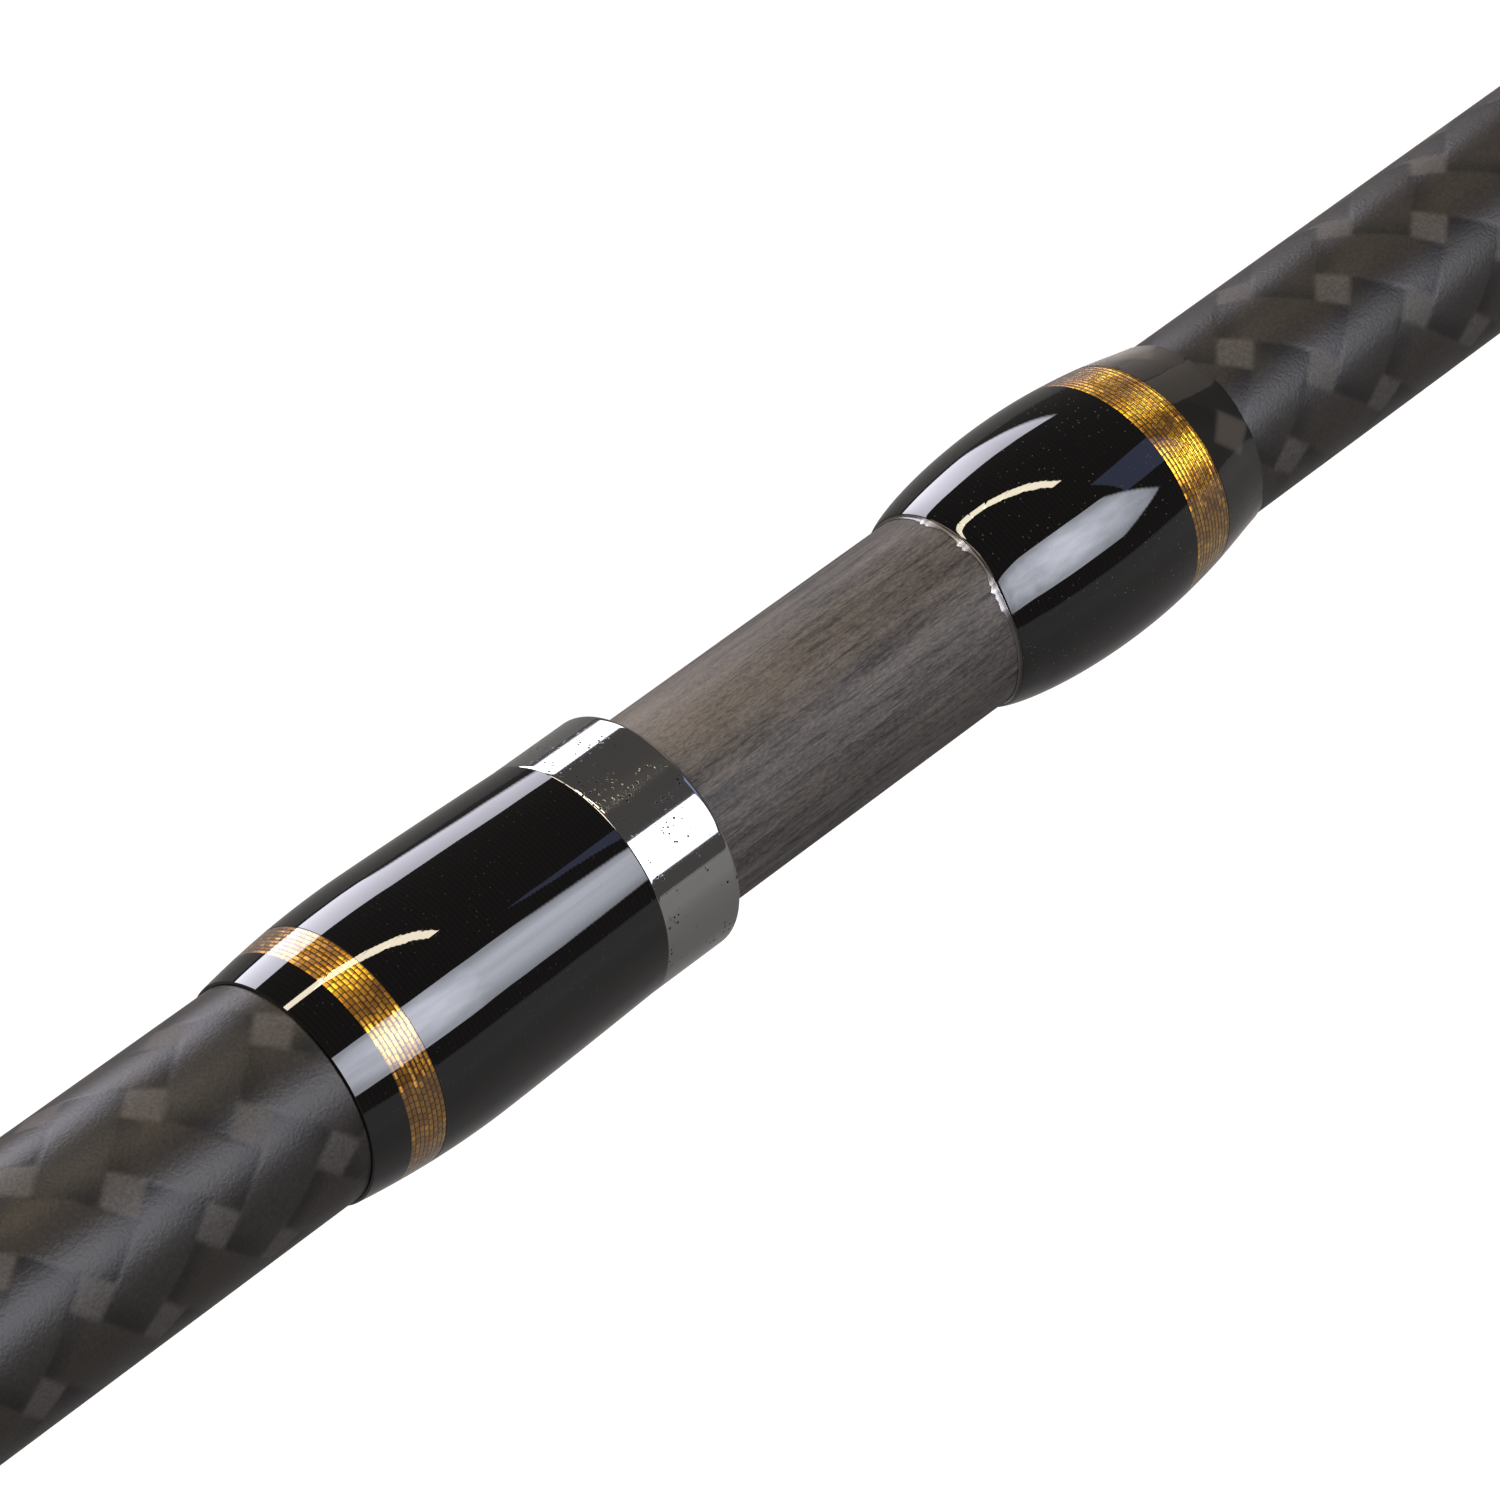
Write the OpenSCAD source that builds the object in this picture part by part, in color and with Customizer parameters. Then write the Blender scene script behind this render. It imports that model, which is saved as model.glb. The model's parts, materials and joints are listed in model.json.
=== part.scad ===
// Two-piece spinning rod: a braided carbon blank with a put-in ferrule, a screw-locking reel seat,
// foam grips, and line guides bound on with lacquered thread.
// The rod lies along X with its tip at +X. Its guides and the reel hang below it, at -Z.
// The origin is on the rod's axis, in the middle of the straight part of the rear grip.

/* [Sections] */
// Length of the butt section, from the butt cap to the socket mouth
butt_section_l = 1080; // [1040:5:1300]
// Length of the tip section that shows in front of the socket mouth
tip_section_l = 1020; // [980:5:1250]
// Length of the spigot that sits inside the socket
spigot_seat_l = 60; // [40:1:90]
// Length of bare spigot that shows between the socket mouth and its winding
spigot_gap_l = 20; // [8:0.5:30]

/* [Blank] */
// Outside diameter of the butt blank at its butt end
butt_end_d = 16; // [14:0.1:17]
// Outside diameter of the butt blank at the socket mouth
butt_mouth_d = 11.06; // [10.8:0.02:11.4]
// Wall of the butt blank at its butt end
butt_wall = 1.4; // [0.8:0.1:2.5]
// Outside diameter of the tip blank along its thick end
tip_base_d = 9.83; // [9.2:0.01:9.9]
// Length of the tip blank's thick end before it starts to taper
tip_parallel_l = 50; // [40:1:80]
// Outside diameter of the tip blank at the tip
tip_end_d = 2.6; // [2:0.1:3.4]
// Wall of the tip blank at its thick end
tip_wall = 0.8; // [0.5:0.05:1.2]
// Wall of the tip blank at the tip
tip_end_wall = 0.7; // [0.4:0.05:0.9]
// Outside diameter of the spigot
spigot_d = 9.96; // [9.7:0.01:10.1]
// Wall of the spigot
spigot_wall = 1.5; // [1:0.1:2.2]
// Length of the spigot's tenon inside the tip blank
spigot_tenon_l = 40; // [25:1:45]

/* [Ferrule windings] */
// Length of the polished ring at the socket mouth
ferrule_ring_l = 4.65; // [3:0.05:8]
// Outside diameter of the polished ring
ferrule_ring_d = 12.12; // [11.8:0.02:12.4]
// Length of the winding behind the polished ring
butt_winding_l = 17.85; // [14:0.05:25]
// Largest diameter of that winding
butt_winding_d = 12.68; // [12.4:0.02:13.4]
// Distance from the rear end of that winding to its thickest place
butt_winding_peak = 7.7; // [5:0.1:11]
// Distance from the rear end of that winding to its gold trim
butt_trim_at = 2; // [1:0.1:4]
// Width of the gold trim on the butt winding
butt_trim_w = 1.95; // [1:0.05:3]
// Length of the winding on the tip section
tip_winding_l = 13.4; // [11:0.1:20]
// Largest diameter of the winding on the tip section
tip_winding_d = 12.35; // [11.8:0.02:13]
// Distance from the spigot end of that winding to its thickest place
tip_winding_peak = 7.6; // [5:0.1:9]
// Width of the gold trim at the front end of that winding
tip_trim_w = 2.6; // [1.5:0.05:4]
// Length of the clear lacquer skirt in front of that winding
skirt_l = 3.5; // [2:0.1:6]
// Depth of the groove in which a gold trim is wound
trim_depth = 0.3; // [0.15:0.05:0.4]

/* [Handle] */
// Length of the rubber butt cap
butt_cap_l = 30; // [20:1:45]
// Diameter of the butt cap, a little under the rear grip's
butt_cap_d = 25.8; // [24:0.1:26]
// Thickness of the cap's rubber behind the blank
butt_cap_floor = 5; // [3:0.5:10]
// Diameter of the rear grip
grip_d = 26.4; // [26.2:0.1:30]
// Length of the straight part of the rear grip
grip_straight_l = 230; // [150:5:300]
// Length of the rear grip's taper towards the reel seat
grip_taper_l = 38; // [20:1:60]
// Length of the trim ring between the rear grip and the reel seat
trim_ring_l = 5; // [3:0.5:8]
// Diameter of that trim ring
trim_ring_d = 23.4; // [22.6:0.1:24.4]
// Length of the foam fore grip
fore_grip_l = 90; // [60:1:140]
// Diameter of the fore grip at the reel seat
fore_grip_d = 24; // [22.6:0.1:26]
// Diameter of the fore grip at its front end
fore_grip_end_d = 17; // [16.5:0.1:20]
// Length of the winding check in front of the fore grip
check_l = 4; // [2:0.5:8]

/* [Reel seat] */
// Length of the reel seat's barrel
seat_l = 115; // [108:1:130]
// Outside diameter of the barrel, over its thread
seat_d = 20.4; // [19.6:0.1:20.8]
// Bore of the barrel
seat_bore_d = 17.4; // [17:0.1:17.6]
// Length of each arbor between blank and barrel
arbor_l = 18; // [10:1:24]
// Height of the flat bed for the reel foot, below the axis
bed_z = 9.5; // [9.3:0.05:9.6]
// Pitch of the barrel's thread
thread_pitch = 2.5; // [2:0.1:3.2]
// Length of the threaded part of the barrel
thread_l = 52; // [48:1:56]
// Depth of the thread
thread_depth = 0.6; // [0.4:0.05:0.7]
// Length of the fixed hood
fixed_hood_l = 25; // [22:0.5:27]
// Length of the sliding hood
sliding_hood_l = 22; // [20:0.5:24]
// Wall of both hoods
hood_wall = 1.2; // [0.9:0.1:1.6]
// Depth of the pocket under a hood, below the bed
pocket_drop = 5.2; // [4.6:0.1:6.5]
// Length of the lock nut
nut_l = 13.5; // [10:0.5:14]
// Outside diameter of the lock nut
nut_d = 26; // [24.6:0.2:28]
// Free thread in front of the lock nut when the seat is open
nut_free_l = 4; // [3:0.5:6]
// Plain end of the barrel between its thread and the fore grip
seat_end_l = 4; // [2:0.5:6]
// Radius of the pocket under a hood
pocket_r = 7.8; // [7.4:0.1:8.2]

/* [Guides] */
// Size of each guide's ring, from the stripper guide to the tip
guide_size = [30, 20, 16, 12, 10, 10, 10]; // [9:1:34]
// Height of each ring's centre above the blank
guide_rise = [28, 20.5, 16.5, 12.5, 10.5, 10.5, 10.5]; // [9:0.5:34]
// Distance of each guide's ring from the tip-top ring
guide_from_tip = [1200, 885, 675, 495, 345, 215, 100]; // [60:5:1300]
// Size of the tip-top's ring
tip_top_size = 10; // [9:1:14]
// Wall of the tip-top's tube
tip_tube_wall = 0.55; // [0.4:0.05:0.8]
// Length of the tip-top's tube
tip_tube_l = 14; // [9:0.5:20]
// Length of the winding behind the tip-top's tube
tip_top_winding_l = 8; // [5:0.5:14]
// Thickness of the metal round a ceramic ring
ring_frame_t = 1.3; // [0.9:0.05:1.6]
// Thickness of a thread winding over the blank
winding_t = 0.35; // [0.25:0.05:0.6]

/* [Hook keeper] */
// Distance from the winding check to the hook keeper's eye
keeper_at = 32; // [22:1:60]
// Mean radius of the keeper's swinging ring
keeper_ring_r = 3.2; // [2.6:0.1:4.5]
// Radius of the keeper's wire
keeper_wire_r = 0.45; // [0.35:0.05:0.6]

/* [Clearances] */
// Glue line between bonded pieces
glue_gap = 0.03; // [0.02:0.01:0.06]
// Radial running clearance between the spigot and its socket
spigot_clear = 0.04; // [0.02:0.01:0.08]
// Radial clearance between the barrel and what slides or turns on it
seat_clear = 0.15; // [0.08:0.01:0.3]

/* [Hidden] */
$fn = 96;

// Places along the rod
x_butt = -(butt_cap_l + grip_straight_l / 2);
x_grip = x_butt + butt_cap_l;
x_trim = x_grip + grip_straight_l + grip_taper_l;
x_seat = x_trim + trim_ring_l;
x_fore = x_seat + seat_l;
x_check = x_fore + fore_grip_l;
x_keeper = x_check + check_l + keeper_at;
x_mouth = x_butt + butt_section_l;
shoulder_cover = 4;
x_tip_winding = x_mouth + spigot_gap_l;
x_shoulder = x_tip_winding + shoulder_cover;
x_skirt = x_tip_winding + tip_winding_l;
x_taper = x_shoulder + tip_parallel_l;
x_tip = x_mouth + tip_section_l;
x_ring = x_mouth - ferrule_ring_l;
x_butt_winding = x_ring - butt_winding_l;

// Radii of the blank
blank_butt_x = x_butt + butt_cap_floor;
tip_tube_floor = 1.5;
tip_blank_end_x = x_tip - tip_tube_floor;
socket_r = spigot_d / 2 + spigot_clear;
socket_spare_l = 12;
socket_l = spigot_seat_l + socket_spare_l;
tenon_r = tip_base_d / 2 - tip_wall - glue_gap;
function mix(a, b, t) = a + (b - a) * t;
function butt_r(x) = mix(butt_end_d, butt_mouth_d, (x - x_butt) / butt_section_l) / 2;
function tip_share(x) = max(0, (x - x_taper) / (tip_blank_end_x - x_taper));
function tip_r(x) = mix(tip_base_d, tip_end_d, tip_share(x)) / 2;
function blank_r(x) = x < x_mouth ? butt_r(x) : tip_r(x);

// Outlines of the two ferrule windings, which swell like a barrel under their lacquer
winding_edge = 0.15;
outline_steps = 9;
butt_winding_r0 = butt_r(x_butt_winding) + winding_edge;
butt_peak_x = x_butt_winding + butt_winding_peak;
tip_peak_x = x_tip_winding + tip_winding_peak;
skirt_end_x = x_skirt + skirt_l;
function swell(t, power) = pow(max(0, 1 - t * t), power);
function butt_winding_r(x) = x < butt_peak_x
    ? mix(butt_winding_r0, butt_winding_d / 2, swell((butt_peak_x - x) / butt_winding_peak, 1))
    : mix(butt_winding_d, ferrule_ring_d, pow((x - butt_peak_x) / (x_ring - butt_peak_x), 1.25)) / 2;
function tip_winding_r(x) = x < tip_peak_x
    ? mix(spigot_d / 2 + winding_edge, tip_winding_d / 2, swell((tip_peak_x - x) / tip_winding_peak, 0.75))
    : mix(tip_base_d / 2 + winding_edge, tip_winding_d / 2,
          swell((x - tip_peak_x) / (skirt_end_x - tip_peak_x), 1.15));
function steps(x0, x1) = [for (i = [0 : outline_steps]) mix(x0, x1, i / outline_steps)];

// Sizes that follow the reel seat's barrel
seat_r = seat_d / 2;
slide_r = seat_r + seat_clear;
hood_r = slide_r + hood_wall;
arch_r = pocket_r + hood_wall;
arch_z = bed_z + pocket_drop - pocket_r;
hood_nose_l = 9;
hood_nose_r = 5;
fixed_hood_bite = 2;
x_thread = x_fore - seat_end_l - thread_l;
x_nut = x_fore - seat_end_l - nut_free_l - nut_l;
hood_nut_gap = 0.3;
x_sliding_hood = x_nut - hood_nut_gap - sliding_hood_l;
x_fixed_hood_end = x_seat - fixed_hood_bite + fixed_hood_l;
pocket_sink = 0.2;
bed_inset = 0.5;
pocket_lip = 4;
key_w = 2.6;
key_h = 0.7;
key_clear = 0.2;

// Sizes that follow a guide's ring
guide_count = len(guide_size);
function guide_x(i) = x_tip - guide_from_tip[i];
function ring_section(size) = 1 + 0.06 * size;
function ring_width(size) = 1.8 + 0.05 * size;
function leg_r(size) = 0.45 + 0.011 * size;
function foot_l(size) = 9 + 0.35 * size;
function foot_w(size) = 2 + 0.04 * size;
function foot_root_h(size) = 1.6 + 0.03 * size;
function front_reach(size) = 3 + 0.35 * size;
function rear_reach(size) = 4 + 0.45 * size;
foot_mid_h = 0.8;
foot_toe_h = 0.4;
foot_slope_l = 2.6;
winding_shift = 0.45;
winding_run = 2.2;
winding_past_toe = 3;
tip_tube_r = tip_end_d / 2 + tip_tube_wall;
hoop_weld = 0.5;
tip_top_drop = tip_tube_r + tip_top_size / 2 + ring_frame_t - hoop_weld;
front_leg_angle = 50;
rear_leg_angle = 78;

// Sizes that follow the hook keeper's wire
keeper_eye_r = 1.5;
keeper_foot_l = 9;
keeper_foot_h = 0.9;
keeper_foot_w = 2;
keeper_z = butt_r(x_keeper) + keeper_foot_h + keeper_eye_r;
keeper_play = 0.1;
keeper_room = 0.6;
keeper_hang_z = keeper_z + keeper_eye_r - 2 * keeper_wire_r - keeper_play;

// Lays a shape that was drawn along Z on the rod's axis
module along_x(x = 0) { translate([x, 0, 0]) rotate([0, 90, 0]) children(); }

// Turns an outline of [radius, x] points about the rod's axis
module turned(points) { along_x() rotate_extrude() polygon(points); }

// A straight round bar between two points
module bar(from, to, r) {
    reach = to - from;
    translate(from)
        rotate([0, acos(reach.z / norm(reach)), atan2(reach.y, reach.x)])
            cylinder(h = norm(reach), r = r);
}

// The space that the blank and its glue line take up between two places
module blank_space(x0, x1) {
    along_x(x0) cylinder(h = x1 - x0, r1 = blank_r(x0) + glue_gap, r2 = blank_r(x1) + glue_gap);
}

// A sleeve with a constant or tapering outside that fits the butt blank
module butt_sleeve(x0, x1, outside) {
    turned(concat(outside, [[butt_r(x1) + glue_gap, x1], [butt_r(x0) + glue_gap, x0]]));
}

// Butt cap: a domed rubber cup that closes the end of the blank
module butt_cap() {
    round_r = 6;
    cap_r = butt_cap_d / 2;
    dome = [for (a = [0 : 15 : 90])
        [cap_r - round_r * (1 - sin(a)), x_butt + round_r * (1 - cos(a))]];
    color("#1c1c1c") turned(concat(
        [[0, x_butt]], dome,
        [[cap_r, x_grip], [butt_r(x_grip) + glue_gap, x_grip],
         [butt_r(blank_butt_x) + glue_gap, blank_butt_x], [0, blank_butt_x]]));
}

// Rear grip: foam sleeve, straight where it is held and tapered towards the reel seat
module rear_grip() {
    edge = 1.5;
    x_straight = x_grip + grip_straight_l;
    color("#242424") butt_sleeve(x_grip, x_trim, [
        [grip_d / 2 - edge, x_grip], [grip_d / 2, x_grip + edge], [grip_d / 2, x_straight],
        [mix(grip_d, trim_ring_d, 0.65) / 2, x_straight + grip_taper_l * 0.5],
        [trim_ring_d / 2, x_trim - edge], [trim_ring_d / 2 - edge / 2, x_trim]]);
}

// Trim ring: polished metal collar between the rear grip and the reel seat
module trim_ring() {
    edge = 0.6;
    r = trim_ring_d / 2;
    color("silver") butt_sleeve(x_trim, x_seat - fixed_hood_bite, [
        [r - edge, x_trim], [r, x_trim + edge], [r, x_seat - fixed_hood_bite - edge],
        [r - edge, x_seat - fixed_hood_bite]]);
}

// Reel seat barrel: moulded tube with a flat bed for the reel foot, a thread and a key groove
module seat_barrel() {
    turns = floor(thread_l / thread_pitch);
    root_r = seat_r - thread_depth;
    flank = thread_pitch * 0.2;
    thread = [for (i = [0 : turns - 1], p = [[seat_r, 0], [seat_r, 1.5], [root_r, 2.5], [root_r, 4]])
        [p[0], x_thread + i * thread_pitch + p[1] * flank]];
    bed_x = x_fixed_hood_end + bed_inset;
    bed_l = x_sliding_hood - bed_inset - bed_x;
    pocket_z = bed_z - pocket_sink;
    color("#202020") difference() {
        turned(concat([[seat_bore_d / 2, x_seat], [seat_r, x_seat]], thread,
                      [[seat_r, x_thread + turns * thread_pitch], [seat_r, x_fore],
                       [seat_bore_d / 2, x_fore]]));
        translate([bed_x, -seat_d, -bed_z - seat_d]) cube([bed_l, 2 * seat_d, seat_d]);
        translate([x_seat + pocket_lip, -seat_d, -pocket_z - seat_d])
            cube([bed_x - x_seat - pocket_lip, 2 * seat_d, seat_d]);
        translate([bed_x + bed_l, -seat_d, -pocket_z - seat_d])
            cube([sliding_hood_l, 2 * seat_d, seat_d]);
        translate([x_fixed_hood_end, -key_w / 2, seat_r - key_h - key_clear])
            cube([x_fore - seat_end_l - x_fixed_hood_end, key_w, seat_d]);
    }
}

// Arbors: rings that centre the barrel on the blank, hidden inside it
module seat_arbors() {
    gap = (seat_l - 3 * arbor_l) / 4;
    color("tan") for (i = [0 : 2]) {
        x = x_seat + gap + i * (arbor_l + gap);
        r = seat_bore_d / 2 - glue_gap;
        butt_sleeve(x, x + arbor_l, [[r, x], [r, x + arbor_l]]);
    }
}

// Outside and hollow of a hood that opens towards +X: a ring with an arched pocket for the reel foot
module hood_shell(l) {
    difference() {
        union() {
            along_x() cylinder(h = l, r = hood_r);
            translate([0, 0, -arch_z]) along_x(hood_nose_l) cylinder(h = l - hood_nose_l, r = arch_r);
            translate([0, 0, -arch_z]) along_x() cylinder(h = hood_nose_l, r1 = hood_nose_r, r2 = arch_r);
        }
        translate([0, 0, -arch_z]) along_x(hood_nose_l) cylinder(h = l, r = pocket_r);
        children();
    }
}

// Fixed hood: metal shell bonded on the rear end of the barrel
module fixed_hood() {
    x0 = x_seat - fixed_hood_bite;
    color("#3a3a3c") translate([x0, 0, 0]) hood_shell(fixed_hood_l) {
        along_x(fixed_hood_bite) cylinder(h = fixed_hood_l, r = seat_r + glue_gap);
        along_x(-1) cylinder(h = fixed_hood_l, r1 = butt_r(x0 - 1) + glue_gap,
                             r2 = butt_r(x0 - 1 + fixed_hood_l) + glue_gap);
    }
}

// Sliding hood: metal shell that the lock nut drives back over the reel foot, kept from turning by a key
module sliding_hood() {
    color("#3a3a3c") translate([x_sliding_hood, 0, 0]) {
        translate([sliding_hood_l, 0, 0]) mirror([1, 0, 0]) hood_shell(sliding_hood_l)
            along_x(-1) cylinder(h = sliding_hood_l + 2, r = slide_r);
        translate([2, -key_w / 2 + key_clear, seat_r - key_h])
            cube([sliding_hood_l - 4, key_w - 2 * key_clear, key_h + seat_clear + hood_wall / 2]);
    }
}

// Lock nut: fluted ring that runs on the barrel's thread
module lock_nut() {
    flutes = 20;
    flute_r = 1.3;
    edge = 1.2;
    r = nut_d / 2;
    color("#2a2a2c") difference() {
        turned([[slide_r, x_nut], [r - edge, x_nut], [r, x_nut + edge], [r, x_nut + nut_l - edge],
                [r - edge, x_nut + nut_l], [slide_r, x_nut + nut_l]]);
        for (i = [0 : flutes - 1])
            rotate([i * 360 / flutes, 0, 0]) translate([0, 0, r + flute_r * 0.55])
                along_x(x_nut - 1) cylinder(h = nut_l + 2, r = flute_r);
    }
}

// Fore grip: short foam sleeve in front of the reel seat
module fore_grip() {
    edge = 1.5;
    color("#242424") butt_sleeve(x_fore, x_check, [
        [fore_grip_d / 2 - edge, x_fore], [fore_grip_d / 2, x_fore + edge],
        [fore_grip_d / 2, x_fore + fore_grip_l * 0.4],
        [mix(fore_grip_d, fore_grip_end_d, 0.4) / 2, x_fore + fore_grip_l * 0.7],
        [fore_grip_end_d / 2, x_check]]);
}

// Winding check: polished ring that hides the front end of the fore grip
module winding_check() {
    end_r = butt_r(x_check + check_l) + 0.6;
    color("silver") butt_sleeve(x_check, x_check + check_l, [
        [fore_grip_end_d / 2 - 0.2, x_check], [fore_grip_end_d / 2 - 0.2, x_check + check_l * 0.5],
        [end_r, x_check + check_l]]);
}

// Butt blank: tapered tube with the parallel socket of the ferrule in its front end
module butt_blank() {
    color("#3c3b3d") turned([
        [butt_r(blank_butt_x), blank_butt_x], [butt_r(x_mouth), x_mouth], [socket_r, x_mouth],
        [socket_r, x_mouth - socket_l], [butt_r(blank_butt_x) - butt_wall, blank_butt_x]]);
}

// Ferrule ring: polished hoop that keeps the socket mouth from splitting
module ferrule_ring() {
    edge = 0.15;
    r = ferrule_ring_d / 2;
    color("silver") butt_sleeve(x_ring, x_mouth, [
        [r, x_ring], [r, x_mouth - edge], [r - edge, x_mouth]]);
}

// Outline of the butt winding, and the part of it that the gold trim fills
module butt_winding_outline() {
    outer = concat(steps(x_butt_winding, butt_peak_x),
                   [for (x = steps(butt_peak_x, x_ring)) if (x > butt_peak_x) x]);
    polygon(concat([for (x = outer) [butt_winding_r(x), x]],
                   [[butt_r(x_ring) + glue_gap, x_ring],
                    [butt_r(x_butt_winding) + glue_gap, x_butt_winding]]));
}
module butt_trim_area() {
    x0 = x_butt_winding + butt_trim_at;
    translate([butt_winding_r(x0) - trim_depth, x0]) square([grip_d, butt_trim_w]);
}

// Butt winding: lacquered black thread that binds the socket
module butt_winding() {
    color("#101012") along_x() rotate_extrude() difference() { butt_winding_outline(); butt_trim_area(); }
}

// Gold trim of the butt winding
module butt_winding_trim() {
    color("goldenrod") along_x() rotate_extrude() intersection() { butt_winding_outline(); butt_trim_area(); }
}

// Male spigot: ground carbon plug with a tenon that is glued into the tip blank
module male_spigot() {
    edge = 0.6;
    x0 = x_mouth - spigot_seat_l;
    r = spigot_d / 2;
    bore = r - spigot_wall;
    tenon_bore = min(bore, tenon_r - 0.8);
    x1 = x_shoulder + spigot_tenon_l;
    color("#4a4643") turned([
        [bore, x0], [r - edge, x0], [r, x0 + edge], [r, x_shoulder], [tenon_r, x_shoulder], [tenon_r, x1],
        [tenon_bore, x1], [tenon_bore, x_shoulder], [bore, x_shoulder - 3]]);
}

// Tip blank: tapered tube, parallel where it holds the spigot's tenon
module tip_blank() {
    bore = tip_base_d / 2 - tip_wall;
    color("#3c3b3d") turned([
        [tip_base_d / 2, x_shoulder], [tip_base_d / 2, x_taper], [tip_end_d / 2, tip_blank_end_x],
        [tip_end_d / 2 - tip_end_wall, tip_blank_end_x], [bore, x_taper], [bore, x_shoulder]]);
}

// Outline of the tip section's winding with its clear skirt, and the part that the gold trim fills
module tip_winding_outline() {
    outer = concat(steps(x_tip_winding, tip_peak_x),
                   [for (x = steps(tip_peak_x, skirt_end_x)) if (x > tip_peak_x) x]);
    bore = max(spigot_d, tip_base_d) / 2 + glue_gap;
    polygon(concat([for (x = outer) [tip_winding_r(x), x]],
                   [[tip_base_d / 2 + glue_gap, skirt_end_x], [tip_base_d / 2 + glue_gap, x_shoulder],
                    [bore, x_shoulder], [bore, x_tip_winding]]));
}
module tip_trim_area() {
    x0 = x_skirt - tip_trim_w;
    translate([tip_winding_r(x_skirt) - trim_depth, x0]) square([grip_d, tip_trim_w]);
}
module tip_skirt_area() { translate([0, x_skirt]) square([grip_d, 2 * skirt_l]); }

// Tip winding: lacquered black thread over the joint of spigot and tip blank
module tip_winding() {
    color("#101012") along_x() rotate_extrude()
        difference() { tip_winding_outline(); tip_trim_area(); tip_skirt_area(); }
}

// Gold trim of the tip winding
module tip_winding_trim() {
    color("goldenrod") along_x() rotate_extrude() intersection() { tip_winding_outline(); tip_trim_area(); }
}

// Clear lacquer that runs off the tip winding on to the bare braid
module tip_skirt() {
    color("#55524e") along_x() rotate_extrude() intersection() { tip_winding_outline(); tip_skirt_area(); }
}

// One foot of a guide, on the side that points to +X from the guide's ring
module guide_foot(size, reach, r) {
    top = [[reach - 1, foot_root_h(size)], [reach + 1.2, foot_root_h(size)],
           [reach + 1.2 + foot_slope_l, foot_mid_h], [reach + foot_l(size), foot_toe_h]];
    rotate([90, 0, 0]) linear_extrude(foot_w(size), center = true)
        polygon(concat([for (p = top) [p[0], -(r + p[1])]],
                       [[reach + foot_l(size), -(r - foot_toe_h)], [reach - 1, -(r - foot_toe_h)]]));
}

// Both feet of guide i, where they stand on the blank
module guide_feet(i) {
    size = guide_size[i];
    translate([guide_x(i), 0, 0]) {
        guide_foot(size, front_reach(size), blank_r(guide_x(i)));
        mirror([1, 0, 0]) guide_foot(size, rear_reach(size), blank_r(guide_x(i)));
    }
}

// The two legs of a guide on one side of its ring
module guide_legs(size, r, rise, reach, angle) {
    ring_r = (size + ring_frame_t) / 2;
    for (side = [-1, 1])
        bar([0, side * ring_r * sin(angle), -(r + rise) + ring_r * cos(angle)],
            [reach, side * foot_w(size) / 5, -(r + foot_root_h(size) / 2)], leg_r(size));
}

// Metal hoop that holds a ceramic ring
module ring_hoop(size) {
    width = ring_width(size) * 0.7;
    along_x(-width / 2) difference() {
        cylinder(h = width, r = size / 2 + ring_frame_t);
        translate([0, 0, -1]) cylinder(h = width + 2, r = size / 2 + glue_gap);
    }
}

// Ceramic ring with a round inner edge for the line
module line_ring(size) {
    section = ring_section(size);
    width = ring_width(size);
    round_r = width * 0.6;
    color("#2b2b30") along_x() rotate_extrude() intersection() {
        translate([size / 2 - section + round_r, 0]) circle(r = round_r);
        translate([size / 2 - 2 * section, -width / 2]) square([2 * section, width]);
    }
}

// Frame of guide i: hoop, four legs and two feet, bent from one stamping
module guide_frame(i) {
    size = guide_size[i];
    x = guide_x(i);
    r = blank_r(x);
    span = 3 * size + 60;
    color("#4c4c50") difference() {
        union() {
            translate([x, 0, -(r + guide_rise[i])]) ring_hoop(size);
            difference() {
                translate([x, 0, 0]) {
                    guide_legs(size, r, guide_rise[i], front_reach(size), front_leg_angle);
                    guide_legs(size, r, guide_rise[i], -rear_reach(size), rear_leg_angle);
                }
                translate([x - size, 0, -(r + guide_rise[i])])
                    along_x() cylinder(h = 2 * size, r = size / 2 + glue_gap);
            }
            guide_feet(i);
        }
        blank_space(x - span / 2, x + span / 2);
    }
}

// Ceramic ring of guide i
module guide_ring(i) {
    translate([guide_x(i), 0, -(blank_r(guide_x(i)) + guide_rise[i])]) line_ring(guide_size[i]);
}

// A lacquered thread winding between two places, set off towards -Z to cover a foot
module foot_winding(x0, x1, shift = winding_shift) {
    r = max(blank_r(x0), blank_r(x1)) + winding_t + shift;
    difference() {
        translate([0, 0, -shift]) turned([
            [0, x0], [blank_r(x0) - shift + winding_edge, x0], [r, x0 + winding_run], [r, x1 - winding_run],
            [blank_r(x1) - shift + winding_edge, x1], [0, x1]]);
        blank_space(x0 - 1, x1 + 1);
    }
}

// The two windings that bind the feet of guide i
module guide_windings(i) {
    size = guide_size[i];
    x = guide_x(i);
    start = 1.2 + foot_slope_l * 0.6;
    front = x + front_reach(size);
    rear = x - rear_reach(size);
    color("#101012") difference() {
        union() {
            foot_winding(front + start, front + foot_l(size) + winding_past_toe);
            foot_winding(rear - foot_l(size) - winding_past_toe, rear - start);
        }
        guide_feet(i);
    }
}

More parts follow.
